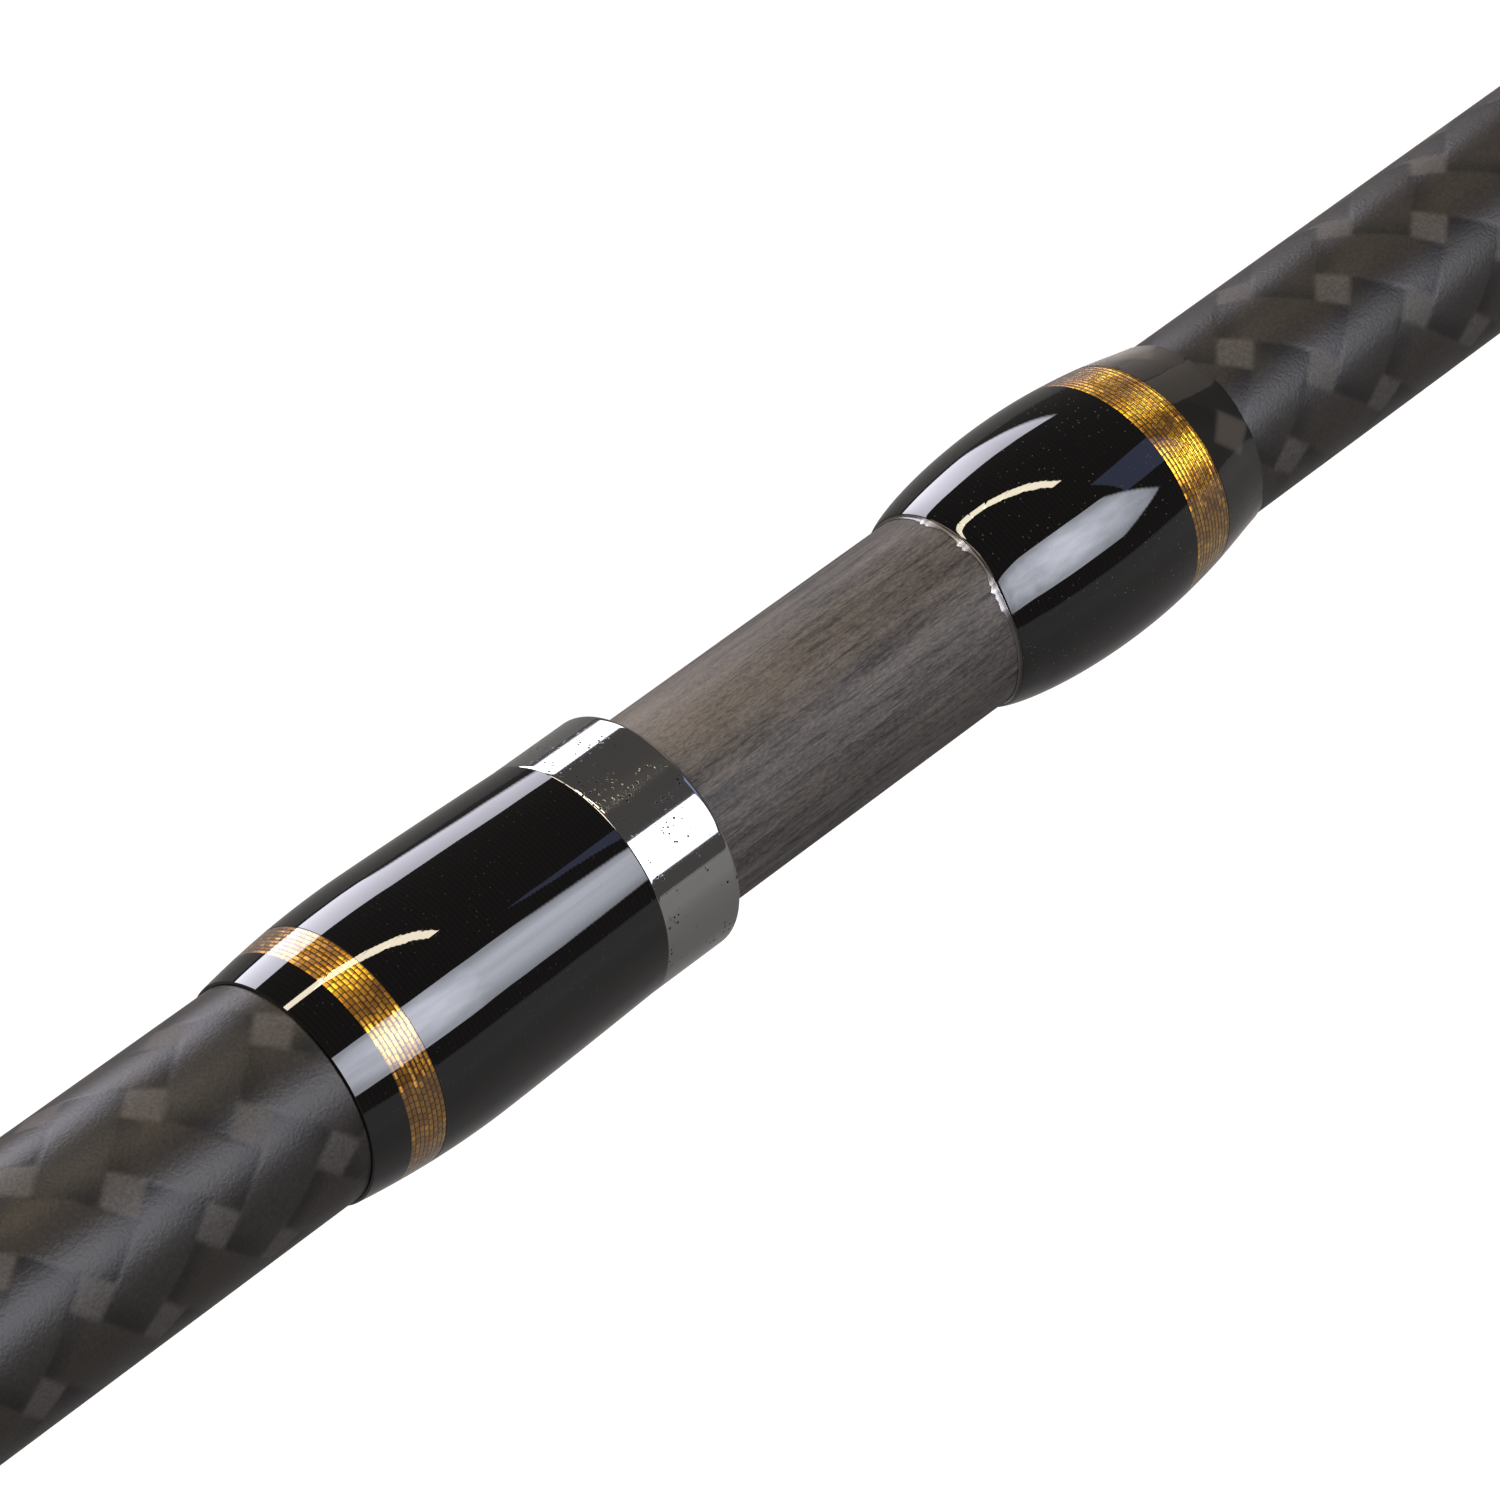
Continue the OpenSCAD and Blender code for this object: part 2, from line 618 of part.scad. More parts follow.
// Tip-top frame: tube over the end of the blank with a hoop below it
module tip_top_frame() {
    x0 = x_tip - tip_tube_l;
    hoop_r = (tip_top_size + ring_frame_t) / 2;
    color("#4c4c50") difference() {
        union() {
            along_x(x0) cylinder(h = tip_tube_l, r = tip_tube_r);
            translate([x_tip, 0, -tip_top_drop]) ring_hoop(tip_top_size);
            difference() {
                for (side = [-1, 1])
                    bar([x_tip - tip_tube_l * 0.6, side * tip_tube_r / 3, -tip_tube_r / 2],
                        [x_tip, side * hoop_r * sin(rear_leg_angle),
                         hoop_r * cos(rear_leg_angle) - tip_top_drop],
                        leg_r(tip_top_size));
                translate([0, 0, -tip_top_drop]) along_x(x_tip - tip_top_size)
                    cylinder(h = 2 * tip_top_size, r = tip_top_size / 2 + glue_gap);
            }
        }
        along_x(x0 - 1) cylinder(h = tip_blank_end_x - x0 + 1 + glue_gap,
                                 r1 = tip_r(x0 - 1) + glue_gap, r2 = tip_end_d / 2 + glue_gap);
    }
}

// Ceramic ring of the tip-top
module tip_top_ring() { translate([x_tip, 0, -tip_top_drop]) line_ring(tip_top_size); }

// Winding that meets the tip-top's tube
module tip_top_winding() {
    x1 = x_tip - tip_tube_l;
    color("#101012") foot_winding(x1 - tip_top_winding_l, x1, 0);
}

// The two feet of the hook keeper, in one bar that lies on the blank
module keeper_feet() {
    r = butt_r(x_keeper);
    translate([x_keeper - keeper_foot_l, -keeper_foot_w / 2, -(r + keeper_foot_h)])
        cube([2 * keeper_foot_l, keeper_foot_w, 2 * keeper_foot_h]);
}

// Hook keeper's frame: its feet and an eye, bent from one wire
module keeper_frame() {
    color("#4c4c50") difference() {
        union() {
            translate([x_keeper, 0, -keeper_z]) rotate([90, 0, 0]) rotate_extrude()
                translate([keeper_eye_r, 0]) circle(r = keeper_wire_r);
            keeper_feet();
        }
        blank_space(x_keeper - 2 * keeper_foot_l, x_keeper + 2 * keeper_foot_l);
    }
}

// Hook keeper's ring, which swings in the eye
module keeper_ring() {
    color("silver") translate([x_keeper, 0, -(keeper_hang_z + keeper_ring_r)]) along_x() rotate_extrude()
        translate([keeper_ring_r, 0]) circle(r = keeper_wire_r);
}

// The two windings that bind the hook keeper's feet
module keeper_windings() {
    start = keeper_eye_r + 2 * keeper_wire_r + keeper_room;
    end = keeper_foot_l + winding_past_toe;
    color("#101012") difference() {
        union() {
            foot_winding(x_keeper + start, x_keeper + end);
            foot_winding(x_keeper - end, x_keeper - start);
        }
        keeper_feet();
    }
}

butt_cap();
rear_grip();
trim_ring();
seat_barrel();
seat_arbors();
fixed_hood();
sliding_hood();
lock_nut();
fore_grip();
winding_check();
butt_blank();
ferrule_ring();
butt_winding();
butt_winding_trim();
keeper_frame();
keeper_ring();
keeper_windings();
male_spigot();
tip_blank();
tip_winding();
tip_winding_trim();
tip_skirt();
tip_top_frame();
tip_top_ring();
tip_top_winding();
for (i = [0 : guide_count - 1]) {
    guide_frame(i);
    guide_ring(i);
    guide_windings(i);
}
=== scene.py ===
"""Looks of a two-piece spinning rod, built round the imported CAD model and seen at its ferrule."""
import json
import math
from functools import partial

import bpy
from mathutils import Matrix, Vector

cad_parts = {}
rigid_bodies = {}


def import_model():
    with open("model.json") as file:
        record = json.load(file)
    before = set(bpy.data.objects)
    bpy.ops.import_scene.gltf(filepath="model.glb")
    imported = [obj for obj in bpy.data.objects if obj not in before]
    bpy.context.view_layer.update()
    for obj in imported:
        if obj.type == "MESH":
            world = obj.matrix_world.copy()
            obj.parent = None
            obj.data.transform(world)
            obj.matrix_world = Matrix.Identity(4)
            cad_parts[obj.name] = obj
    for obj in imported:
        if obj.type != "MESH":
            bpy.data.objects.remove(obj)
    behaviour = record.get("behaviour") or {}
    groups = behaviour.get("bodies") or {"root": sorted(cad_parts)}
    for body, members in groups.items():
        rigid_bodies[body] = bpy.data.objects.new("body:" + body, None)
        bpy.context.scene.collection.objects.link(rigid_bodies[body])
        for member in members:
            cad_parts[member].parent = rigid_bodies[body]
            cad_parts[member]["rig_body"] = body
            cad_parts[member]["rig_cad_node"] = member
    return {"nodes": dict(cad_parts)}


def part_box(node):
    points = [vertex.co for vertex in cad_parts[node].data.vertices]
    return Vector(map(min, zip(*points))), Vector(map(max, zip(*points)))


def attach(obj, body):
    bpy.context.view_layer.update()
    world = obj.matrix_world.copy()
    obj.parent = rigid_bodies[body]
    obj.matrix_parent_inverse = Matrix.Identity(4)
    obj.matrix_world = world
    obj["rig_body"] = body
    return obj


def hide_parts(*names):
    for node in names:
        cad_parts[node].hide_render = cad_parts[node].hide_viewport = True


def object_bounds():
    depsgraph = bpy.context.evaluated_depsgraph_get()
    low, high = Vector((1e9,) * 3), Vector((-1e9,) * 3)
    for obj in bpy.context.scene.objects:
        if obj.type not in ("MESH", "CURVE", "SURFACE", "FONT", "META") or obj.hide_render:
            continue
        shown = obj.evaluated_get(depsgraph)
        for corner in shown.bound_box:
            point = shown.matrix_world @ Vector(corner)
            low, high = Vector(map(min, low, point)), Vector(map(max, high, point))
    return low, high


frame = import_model()
cad_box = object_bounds()

# ---------------------------------------------------------------------------------------------------
# Butt blank: a tapered tube of carbon tows braided over a mandrel, cured, ground and sprayed with satin
# lacquer. Its front end is bored as the socket of the ferrule.

MM = 0.001


def span(node):
    """The rear and the front end of a CAD node, as places along the rod."""
    return [corner.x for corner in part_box(node)]


mouth_x = span("ferrule_ring")[1]
butt_x = span("butt_cap")[0]
blank_start = butt_x + 5 * MM
butt_end_r, mouth_r, butt_wall = 8 * MM, 5.53 * MM, 1.4 * MM
socket_r, socket_l = 5.02 * MM, 72 * MM
same_point = 0.001 * MM


def butt_r(x):
    """Outside radius of the butt blank at a place along the rod."""
    return butt_end_r + (mouth_r - butt_end_r) * (x - butt_x) / (mouth_x - butt_x)


def between(start, end, count):
    """Evenly spread places from start to end, both included."""
    return [start + (end - start) * i / count for i in range(count + 1)]


def drawn(name, rail):
    """A chain of edges from point to point, left open in edit mode with all of it selected."""
    bpy.ops.object.select_all(action="DESELECT")
    bpy.ops.mesh.primitive_plane_add(size=MM)
    piece = bpy.context.object
    piece.name = piece.data.name = name
    bpy.ops.object.mode_set(mode="EDIT")
    bpy.ops.mesh.select_all(action="SELECT")
    bpy.ops.mesh.merge(type="CENTER")
    bpy.ops.transform.translate(value=rail[0])
    for here, there in zip(rail, rail[1:]):
        bpy.ops.mesh.extrude_vertices_move(TRANSFORM_OT_translate={"value": there - here})
    bpy.ops.mesh.select_all(action="SELECT")
    return piece


def turned(name, outline, steps=96, axis_z=0.0):
    """A closed outline of (place, radius) points spun round an axis along the rod, as on a lathe."""
    rail = [Vector((x, 0, axis_z + r)) for x, r in outline]
    if outline[0][1] > 0:
        rail.append(rail[0])
    piece = drawn(name, rail)
    bpy.ops.mesh.spin(steps=steps, angle=math.tau, center=(0, 0, axis_z), axis=(1, 0, 0))
    bpy.ops.mesh.select_all(action="SELECT")
    bpy.ops.mesh.remove_doubles(threshold=same_point)
    bpy.ops.mesh.normals_make_consistent(inside=False)
    bpy.ops.object.mode_set(mode="OBJECT")
    bpy.ops.object.shade_smooth_by_angle(angle=math.radians(40))
    return piece


butt_blank = turned(
    "butt_blank", [(x, butt_r(x)) for x in between(blank_start, mouth_x, 40)]
    + [(mouth_x, socket_r), (mouth_x - socket_l, socket_r), (blank_start, butt_r(blank_start) - butt_wall)], steps=128)


def tint(code):
    """An sRGB hex colour as the linear colour that a shader takes."""
    parts = [int(code[i:i + 2], 16) / 255 for i in (1, 3, 5)]
    return [*(c / 12.92 if c <= 0.04045 else ((c + 0.055) / 1.055) ** 2.4 for c in parts), 1.0]


def wire(owner, kind, inputs=(), **settings):
    """Adds a node to a material, lamp or world, sets it, links or fills its inputs, and gives its first output.

    After the kind of a Math, VectorMath or MixRGB node stands what it does. A hex colour is made linear."""
    kind, _, does = kind.partition(" ")
    made = owner.node_tree.nodes.new("ShaderNode" + kind)
    if does:
        settings["blend_type" if kind == "MixRGB" else "operation"] = does
    for key, value in settings.items():
        setattr(made, key, value)
    for key, value in inputs.items() if isinstance(inputs, dict) else enumerate(inputs):
        if isinstance(value, bpy.types.NodeSocket):
            owner.node_tree.links.new(value, made.inputs[key])
        else:
            made.inputs[key].default_value = tint(value) if isinstance(value, str) else value
    return made.outputs[0] if made.outputs else made


def new_finish(name):
    """An empty material of that name, what adds a node to it, and its piece's own coordinates in metres."""
    mat = bpy.data.materials.new(name)
    mat.use_nodes = True
    mat.node_tree.nodes.clear()
    place = mat.node_tree.nodes.new("ShaderNodeTexCoord").outputs["Object"]
    return mat, partial(wire, mat), place


def dress(piece, mat, body, nodes):
    """Gives a piece its material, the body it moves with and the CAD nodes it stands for."""
    piece.data.materials.clear()
    piece.data.materials.append(mat)
    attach(piece, body)
    if nodes:
        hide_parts(*nodes)


def braid(add, place, first, second):
    """Open plain braid of two families of tows, each (count round the tube, repeat along it, start).

    Gives how much of each family shows, how high it lies, where it dives, and the grain of the resin."""
    xyz = add("SeparateXYZ", [place]).node.outputs
    # tows wander by a few hundredths of their spacing, over about 5 mm
    drift = add("TexNoise", {"Vector": place, "Scale": 1 / (5 * MM)})
    wander = add("Math MULTIPLY_ADD", [drift, 0.1, -0.05])
    angle = add("Math ARCTAN2", [xyz["Y"], xyz["Z"]])
    spots = []
    for (count, repeat, start), way in ((first, 1), (second, -1)):
        run = add("Math MULTIPLY_ADD", [xyz["X"], way / repeat, -way * mouth_x / repeat - start])
        spot = add("Math MULTIPLY_ADD", [angle, count / math.tau, run])
        spots.append(add("Math ADD", [spot, wander]))
    cells = add("Math ADD", [add("Math FLOOR", [s]) for s in spots])
    parity = add("Math PINGPONG", [cells, 1])
    sign = add("Math MULTIPLY_ADD", [parity, 2, -1])
    against = add("Math MULTIPLY", [sign, -1])
    across = [add("Math SUBTRACT", [add("Math FRACT", [s]), 0.5]) for s in spots]
    # a tow is about 0.63 of its spacing wide, with a soft edge
    masks = [add("MapRange", {"Value": add("Math ABSOLUTE", [a]), "From Min": 0.36, "From Max": 0.27},
                 interpolation_type="SMOOTHSTEP") for a in across]
    waves = []
    for a, s in ((across[1], sign), (across[0], against)):
        bow = add("Math COSINE", [add("Math MULTIPLY", [a, math.pi])])
        waves.append(add("Math MULTIPLY", [bow, s]))
    even = add("Math SUBTRACT", [1, parity])
    shows = []
    for own, other, over in ((masks[0], masks[1], even), (masks[1], masks[0], parity)):
        hidden = add("Math MULTIPLY", [other, over])
        left = add("Math SUBTRACT", [1, hidden])
        shows.append(add("Math MULTIPLY", [own, left]))
    heights = []
    for s, w, a in zip(shows, waves, across):
        crown = add("Math MULTIPLY_ADD", [add("Math MULTIPLY", [a, a]), -8, 1])
        lift = add("Math MULTIPLY_ADD", [w, 0.7, crown])
        heights.append(add("Math MULTIPLY", [s, lift]))
    height = add("Math ADD", heights)
    dive = add("Math ADD", [add("Math MULTIPLY", [s, w]) for s, w in zip(shows, waves)])
    grain = add("TexNoise", {"Vector": place, "Scale": 1 / (0.16 * MM), "Detail": 2.0})
    return shows, height, dive, grain


def satin_braid(name, first, second, gloss):
    """Braided carbon under satin lacquer: warm black tows with a soft broad sheen, paler resin in the gaps."""
    mat, add, place = new_finish(name)
    shows, height, dive, grain = braid(add, place, first, second)
    # painted shade: where a tow dives under the next one it is painted darker
    depth = add("MapRange", {"Value": dive, "From Min": -0.55, "From Max": 0.45, "To Min": 0.42, "To Max": 1.0},
                interpolation_type="SMOOTHSTEP")
    tow = add("MixRGB", [shows[0], "#1e1b18", "#201c18"])
    tow = add("MixRGB MULTIPLY", [1.0, tow, depth])
    any_tow = add("Math ADD", shows)
    mixed = add("MixRGB", [any_tow, "#332f2b", tow])
    # specks of resin dust, drawn at 0.16 mm where the real ones are half of that
    speck = add("MapRange", {"Value": grain, "From Min": 0.3, "From Max": 0.7, "To Min": 0.72, "To Max": 1.28})
    mixed = add("MixRGB MULTIPLY", [1.0, mixed, speck])
    fibre = add("Bump", {"Height": height, "Distance": 0.05 * MM, "Strength": 0.6})
    skin = add("Bump", {"Height": grain, "Distance": 0.024 * MM, "Strength": 0.7, "Normal": fibre})
    rough = add("MapRange", {"Value": any_tow, "To Min": 0.5, "To Max": 0.38})
    add("OutputMaterial", [add("BsdfPrincipled", {
        "Base Color": mixed, "Roughness": rough, "IOR": 1.5, "Specular IOR Level": gloss, "Normal": skin})])
    return mat


butt_tows = (5, 6.16 * MM, 0.052), (6, 7.78 * MM, -0.122)
butt_carbon = satin_braid("satin_braided_carbon_butt", *butt_tows, gloss=0.21)
dress(butt_blank, butt_carbon, "butt_section", ["butt_blank"])

# ---------------------------------------------------------------------------------------------------
# Ferrule ring: a polished and plated metal hoop, pressed on the socket mouth so that it can't split.
# Its edges are rounded, and handling has left fine pits.

ring_x, ring_r = span("ferrule_ring")[0], 6.06 * MM
ring_rear_edge, ring_edge = 0.12 * MM, 0.22 * MM
glue = 0.03 * MM


def arc(x, r, size, start, end, count=6):
    """Points of a round edge: a centre, its radius, and the turn from start to end in degrees."""
    return [(x + size * math.cos(math.radians(a)), r + size * math.sin(math.radians(a)))
            for a in between(start, end, count)]


ferrule_ring = turned(
    "ferrule_ring", arc(ring_x + ring_rear_edge, ring_r - ring_rear_edge, ring_rear_edge, 180, 90)
    + [(x, ring_r) for x in between(ring_x + 0.2 * MM, mouth_x - ring_edge - 0.1 * MM, 4)]
    + arc(mouth_x - ring_edge, ring_r - ring_edge, ring_edge, 90, 0)
    + [(mouth_x, butt_r(mouth_x) + glue), (ring_x, butt_r(ring_x) + glue)], steps=192)


def polished_metal(name, colour, pits, knock=None):
    """Plated and polished metal: mirror strips, a slight roll in the surface, and pits where it is worn."""
    mat, add, place = new_finish(name)
    roll = add("TexNoise", {"Vector": place, "Scale": 1 / (2.5 * MM), "Detail": 1.0})
    patch = add("TexNoise", {"Vector": place, "Scale": 1 / (1.3 * MM), "Detail": 2.0})
    # pits of about 0.1 mm stand in patches, and scatter the light
    dots = add("TexVoronoi", {"Vector": place, "Scale": 1 / (0.26 * MM)})
    pit = add("MapRange", {"Value": dots, "From Min": 0.29, "From Max": 0.21})
    where = add("MapRange", {"Value": patch, "From Min": 0.66 - 0.12 * pits, "From Max": 0.7 - 0.12 * pits})
    if knock:
        # one place has been knocked more often than the rest
        off = add("VectorMath DISTANCE", [place, knock]).node.outputs["Value"]
        spot = add("MapRange", {"Value": off, "From Min": 1.3 * MM, "From Max": 0.6 * MM})
        where = add("Math MAXIMUM", [where, spot])
    pit = add("Math MULTIPLY", [pit, where])
    shade = add("MixRGB", [pit, colour, "#1e1d1c"])
    rough = add("MapRange", {"Value": pit, "To Min": 0.06, "To Max": 0.4})
    wavy = add("Bump", {"Height": roll, "Distance": 0.003 * MM, "Strength": 0.15})
    pitted = add("Bump", {"Height": pit, "Distance": 0.002 * MM, "Strength": 0.5, "Normal": wavy}, invert=True)
    add("OutputMaterial", [add("BsdfPrincipled", {
        "Base Color": shade, "Roughness": rough, "Metallic": 1.0, "Normal": pitted})])
    return mat


knock_turn = math.radians(43)
knocked = (mouth_x - 2.1 * MM, -ring_r * math.sin(knock_turn), ring_r * math.cos(knock_turn))
plated_brass = polished_metal("plated_brass", "#979796", pits=1.0, knock=knocked)
dress(ferrule_ring, plated_brass, "butt_section", ["ferrule_ring"])

# ---------------------------------------------------------------------------------------------------
# Butt winding: black thread wound over the socket and flooded with two-part lacquer while the rod turns,
# so it swells like a barrel. A groove near its rear end takes the gold trim.

winding_x = span("butt_winding")[0]
swell_x, swell_r = winding_x + 7.7 * MM, 6.34 * MM
winding_rim, rim_drop, rim_run = 0.15 * MM, 0.06 * MM, 0.05 * MM
run_down = 1.25
trim_depth = 0.3 * MM


def butt_winding_r(x):
    """Outside of the butt winding's lacquer: a barrel that runs down to the polished ring."""
    if x < swell_x:
        low = butt_r(winding_x) + winding_rim
        return low + (swell_r - low) * (1 - ((swell_x - x) / (swell_x - winding_x)) ** 2)
    return swell_r + (ring_r - swell_r) * max(0, (x - swell_x) / (ring_x - swell_x)) ** run_down


trim_x0, trim_x1 = span("butt_winding_trim")
trim_floor = butt_winding_r(trim_x0) - trim_depth
butt_winding = turned(
    "butt_winding",
    [(winding_x, butt_r(winding_x) + glue), (winding_x, butt_winding_r(winding_x) - rim_drop)]
    + [(x, butt_winding_r(x)) for x in between(winding_x + rim_run, trim_x0, 10)]
    + [(trim_x0, trim_floor), (trim_x1, trim_floor)]
    + [(x, butt_winding_r(x)) for x in between(trim_x1, ring_x, 48)]
    + [(ring_x, butt_r(ring_x) + glue)], steps=192)

# Black nylon thread under thick clear lacquer: deep black, mirror gloss, and dust caught while it cured
thread_pitch = 0.25 * MM
black_thread, add, place = new_finish("black_thread_under_lacquer")
xyz = add("SeparateXYZ", [place]).node.outputs
turns = add("Math SINE", [add("Math MULTIPLY", [xyz["X"], math.tau / thread_pitch])])
# dust of 0.05 mm, a little coarser than the real one so that it shows
dots = add("TexVoronoi", {"Vector": place, "Scale": 1 / (0.3 * MM)})
dust = add("MapRange", {"Value": dots, "From Min": 0.13, "From Max": 0.06})
patch = add("TexNoise", {"Vector": place, "Scale": 1 / (3 * MM)})
patch = add("MapRange", {"Value": patch, "From Min": 0.34, "From Max": 0.54})
dust = add("Math MULTIPLY", [dust, patch])
# the butt section cured in cleaner air than the tip section
clean = add("MapRange", {"Value": xyz["X"], "From Min": mouth_x, "From Max": mouth_x + 10 * MM, "To Min": 0.3})
dust = add("Math MULTIPLY", [dust, clean])
thread = add("MapRange", {"Value": turns, "From Min": -1.0})
black = add("MixRGB", [thread, "#000000", "#030202"])
shade = add("MixRGB", [dust, black, "#4d473d"])
ridges = add("Bump", {"Height": turns, "Distance": 0.02 * MM, "Strength": 0.3})
# the lacquer's own skin: level, with low runs some millimetres long and a trace of the turns below
long = add("Mapping", {"Vector": place, "Scale": (0.5, 1, 1)})
runs = add("TexNoise", {"Vector": long, "Scale": 1 / (2.2 * MM), "Detail": 2.0, "Roughness": 0.35})
level = add("Bump", {"Height": runs, "Distance": 0.03 * MM, "Strength": 0.35})
skin = add("Bump", {"Height": turns, "Distance": 0.00005 * MM, "Strength": 0.6, "Normal": level})
add("OutputMaterial", [add("BsdfPrincipled", {
    "Base Color": shade, "Roughness": 0.5, "Specular IOR Level": 0.0, "Normal": ridges,
    "Coat Weight": 1.0, "Coat Roughness": 0.02, "Coat IOR": 1.5, "Coat Normal": skin})])
dress(butt_winding, black_thread, "butt_section", ["butt_winding"])

# ---------------------------------------------------------------------------------------------------
# Gold trim of the butt winding: eight turns of metallic thread, a flat foil spun round a core, laid
# side by side in the black thread and flooded with the same lacquer.

gold_pitch, gold_bulge = 0.245 * MM, 0.03 * MM
gold_r, foil_step = 6.0 * MM, 0.34 * MM
brick_tilt, patch_tilt = 0.28, 0.2
# painted highlights on the foil: its dull level, and how bright it is painted at each turn from straight up towards the
# camera's side, and straight down
painted_glint_base = 0.2
painted_glint_bands = ((-160, 0.8), (-140, 0.2), (-115, 0.8), (-92, 0.2), (-65, 0.6), (-40, 0.0), (-27, 0.1), (-15, 0.7),
            (-1, 0.15), (11, 0.95), (25, 0.1), (43, 0.9), (56, 0.1), (70, 0.15), (95, 0.5), (125, 0.2), (150, 0.8))


def gold_turns(name, x0, x1, outside, floor, axis_z=0.0, steps=192):
    """A band of touching thread turns: each turn bulges from the band's floor to its outside."""
    count = round((x1 - x0) / gold_pitch)
    ridge = [(x, outside(x) - gold_bulge * (1 - abs(math.sin(math.pi * count * (x - x0) / (x1 - x0)))))
             for x in between(x0, x1, 10 * count)]
    return turned(name, ridge + [(x1, floor), (x0, floor)], steps=steps, axis_z=axis_z)


butt_trim = gold_turns("butt_winding_trim", trim_x0, trim_x1, butt_winding_r, trim_floor)


def metallic_thread(name, x0, x1, outside, tones, axis_z=0.0):
    """Gold foil thread under lacquer: bright bricks of foil, each tilted its own way, with painted highlight bands
    round the rod, under a mirror skin.
    """
    mat, add, place = new_finish(name)
    xyz = add("SeparateXYZ", [place]).node.outputs
    angle = add("Math ARCTAN2", [xyz["Y"], xyz["Z"]])
    turn = add("Math MULTIPLY_ADD", [xyz["X"], 1 / gold_pitch, -x0 / gold_pitch])
    row = add("Math FLOOR", [turn])
    bulge = add("Math SINE", [add("Math MULTIPLY", [turn, math.pi])])
    bulge = add("Math ABSOLUTE", [bulge])
    # the foil crosses the thread at even steps, and each turn starts elsewhere
    offset = add("Math MULTIPLY", [add("TexWhiteNoise", {"W": row}, noise_dimensions="1D"), 7])
    along = add("Math MULTIPLY_ADD", [angle, gold_r / foil_step, offset])
    brick = add("Math FLOOR", [along])
    joint = add("Math PINGPONG", [along, 0.5])
    luck = add("TexWhiteNoise", {"Vector": add("CombineXYZ", [row, brick])}, noise_dimensions="2D")
    # painted highlights: bright stretches follow dull ones round the rod, alike on all turns, standing in for the lamps
    # mirrored in the foil
    spot = add("MapRange", {"Value": angle, "From Min": math.pi, "From Max": -math.pi})
    painted_glints = add("ValToRGB", {"Fac": spot})
    painted_glints.node.color_ramp.interpolation = "EASE"
    stops = painted_glints.node.color_ramp.elements
    stops[0].color = stops[1].color = (painted_glint_base,) * 3 + (1,)
    for side, share in painted_glint_bands:
        stops.new((side + 180) / 360).color = (share, share, share, 1)
    # single bricks and patches of about 1.5 mm differ a little from that
    wide = add("Mapping", {"Vector": place, "Scale": (0.35, 1, 1)})
    patch = add("TexNoise", {"Vector": wide, "Scale": 1 / (1.5 * MM), "Detail": 1.5})
    mixed = add("Math MULTIPLY_ADD", [luck, 0.5, painted_glints])
    mixed = add("Math MULTIPLY_ADD", [patch, 0.4, mixed])
    mixed = add("Math SUBTRACT", [mixed, 0.45])
    foil = add("ValToRGB", {"Fac": mixed})
    ramp = foil.node.color_ramp
    ramp.elements[0].color, ramp.elements[1].color = tint(tones[0]), tint(tones[2])
    ramp.elements.new(0.5).color = tint(tones[1])
    gap = add("MapRange", {"Value": bulge, "From Min": 0.15, "From Max": 0.5})
    seam = add("MapRange", {"Value": joint, "From Min": 0.02, "From Max": 0.14, "To Min": 0.15})
    gap = add("Math MULTIPLY", [gap, seam])
    shade = add("MixRGB", [gap, "#241404", foil])
    facet = add("NewGeometry").node.outputs["Normal"]
    for chance, most in ((luck, brick_tilt), (patch, patch_tilt)):
        chance = chance.node.outputs["Color"]
        tilt = add("VectorMath MULTIPLY_ADD", [chance, (most, most, most), (-most / 2, -most / 2, -most / 2)])
        facet = add("VectorMath ADD", [facet, tilt])
    facet = add("VectorMath NORMALIZE", [facet])
    # the lacquer over the turns is level: its normal points out from the axis, with the slope of the winding
    step = 0.05 * MM
    slopes = [-outside(x) * (outside(x + step) - outside(x - step)) / (2 * step) for x in (x0, x1)]
    slope = add("MapRange", {"Value": xyz["X"], "From Min": x0, "From Max": x1,
                             "To Min": slopes[0], "To Max": slopes[1]}, clamp=False)
    flat = add("CombineXYZ", [slope, xyz["Y"], add("Math SUBTRACT", [xyz["Z"], axis_z])])
    flat = add("VectorTransform", [flat], vector_type="NORMAL", convert_from="OBJECT", convert_to="WORLD")
    flat = add("VectorMath NORMALIZE", [flat])
    add("OutputMaterial", [add("BsdfPrincipled", {
        "Base Color": shade, "Roughness": 0.36, "Metallic": 0.85, "Normal": facet,
        "Coat Weight": 1.0, "Coat Roughness": 0.02, "Coat IOR": 1.5, "Coat Normal": flat})])
    return mat


old_gold = "#6a450c", "#9c6c16", "#d6a42c"
butt_gold = metallic_thread("gold_foil_thread_butt", trim_x0, trim_x1, butt_winding_r, old_gold)
dress(butt_trim, butt_gold, "butt_section", ["butt_winding_trim"])

# ---------------------------------------------------------------------------------------------------
# Male spigot: a carbon plug with its fibres along the rod, ground bare to fit the socket. Its tenon is
# glued into the tip blank, and its end is chamfered to find the socket.

spigot_x0, spigot_x1 = span("male_spigot")
shoulder_x, tip_end_x = span("tip_blank")
spigot_r, spigot_bore, spigot_chamfer = 4.98 * MM, 3.48 * MM, 0.6 * MM
tenon_r, tenon_bore, bore_slope = 4.085 * MM, 3.285 * MM, 3 * MM
spigot = turned(
    "male_spigot",
    [(spigot_x0, spigot_bore), (spigot_x0, spigot_r - spigot_chamfer), (spigot_x0 + spigot_chamfer, spigot_r)]
    + [(x, spigot_r) for x in between(spigot_x0 + 4 * MM, shoulder_x, 12)]
    + [(shoulder_x, tenon_r), (spigot_x1, tenon_r), (spigot_x1, tenon_bore), (shoulder_x, tenon_bore),
       (shoulder_x - bore_slope, spigot_bore)], steps=160)

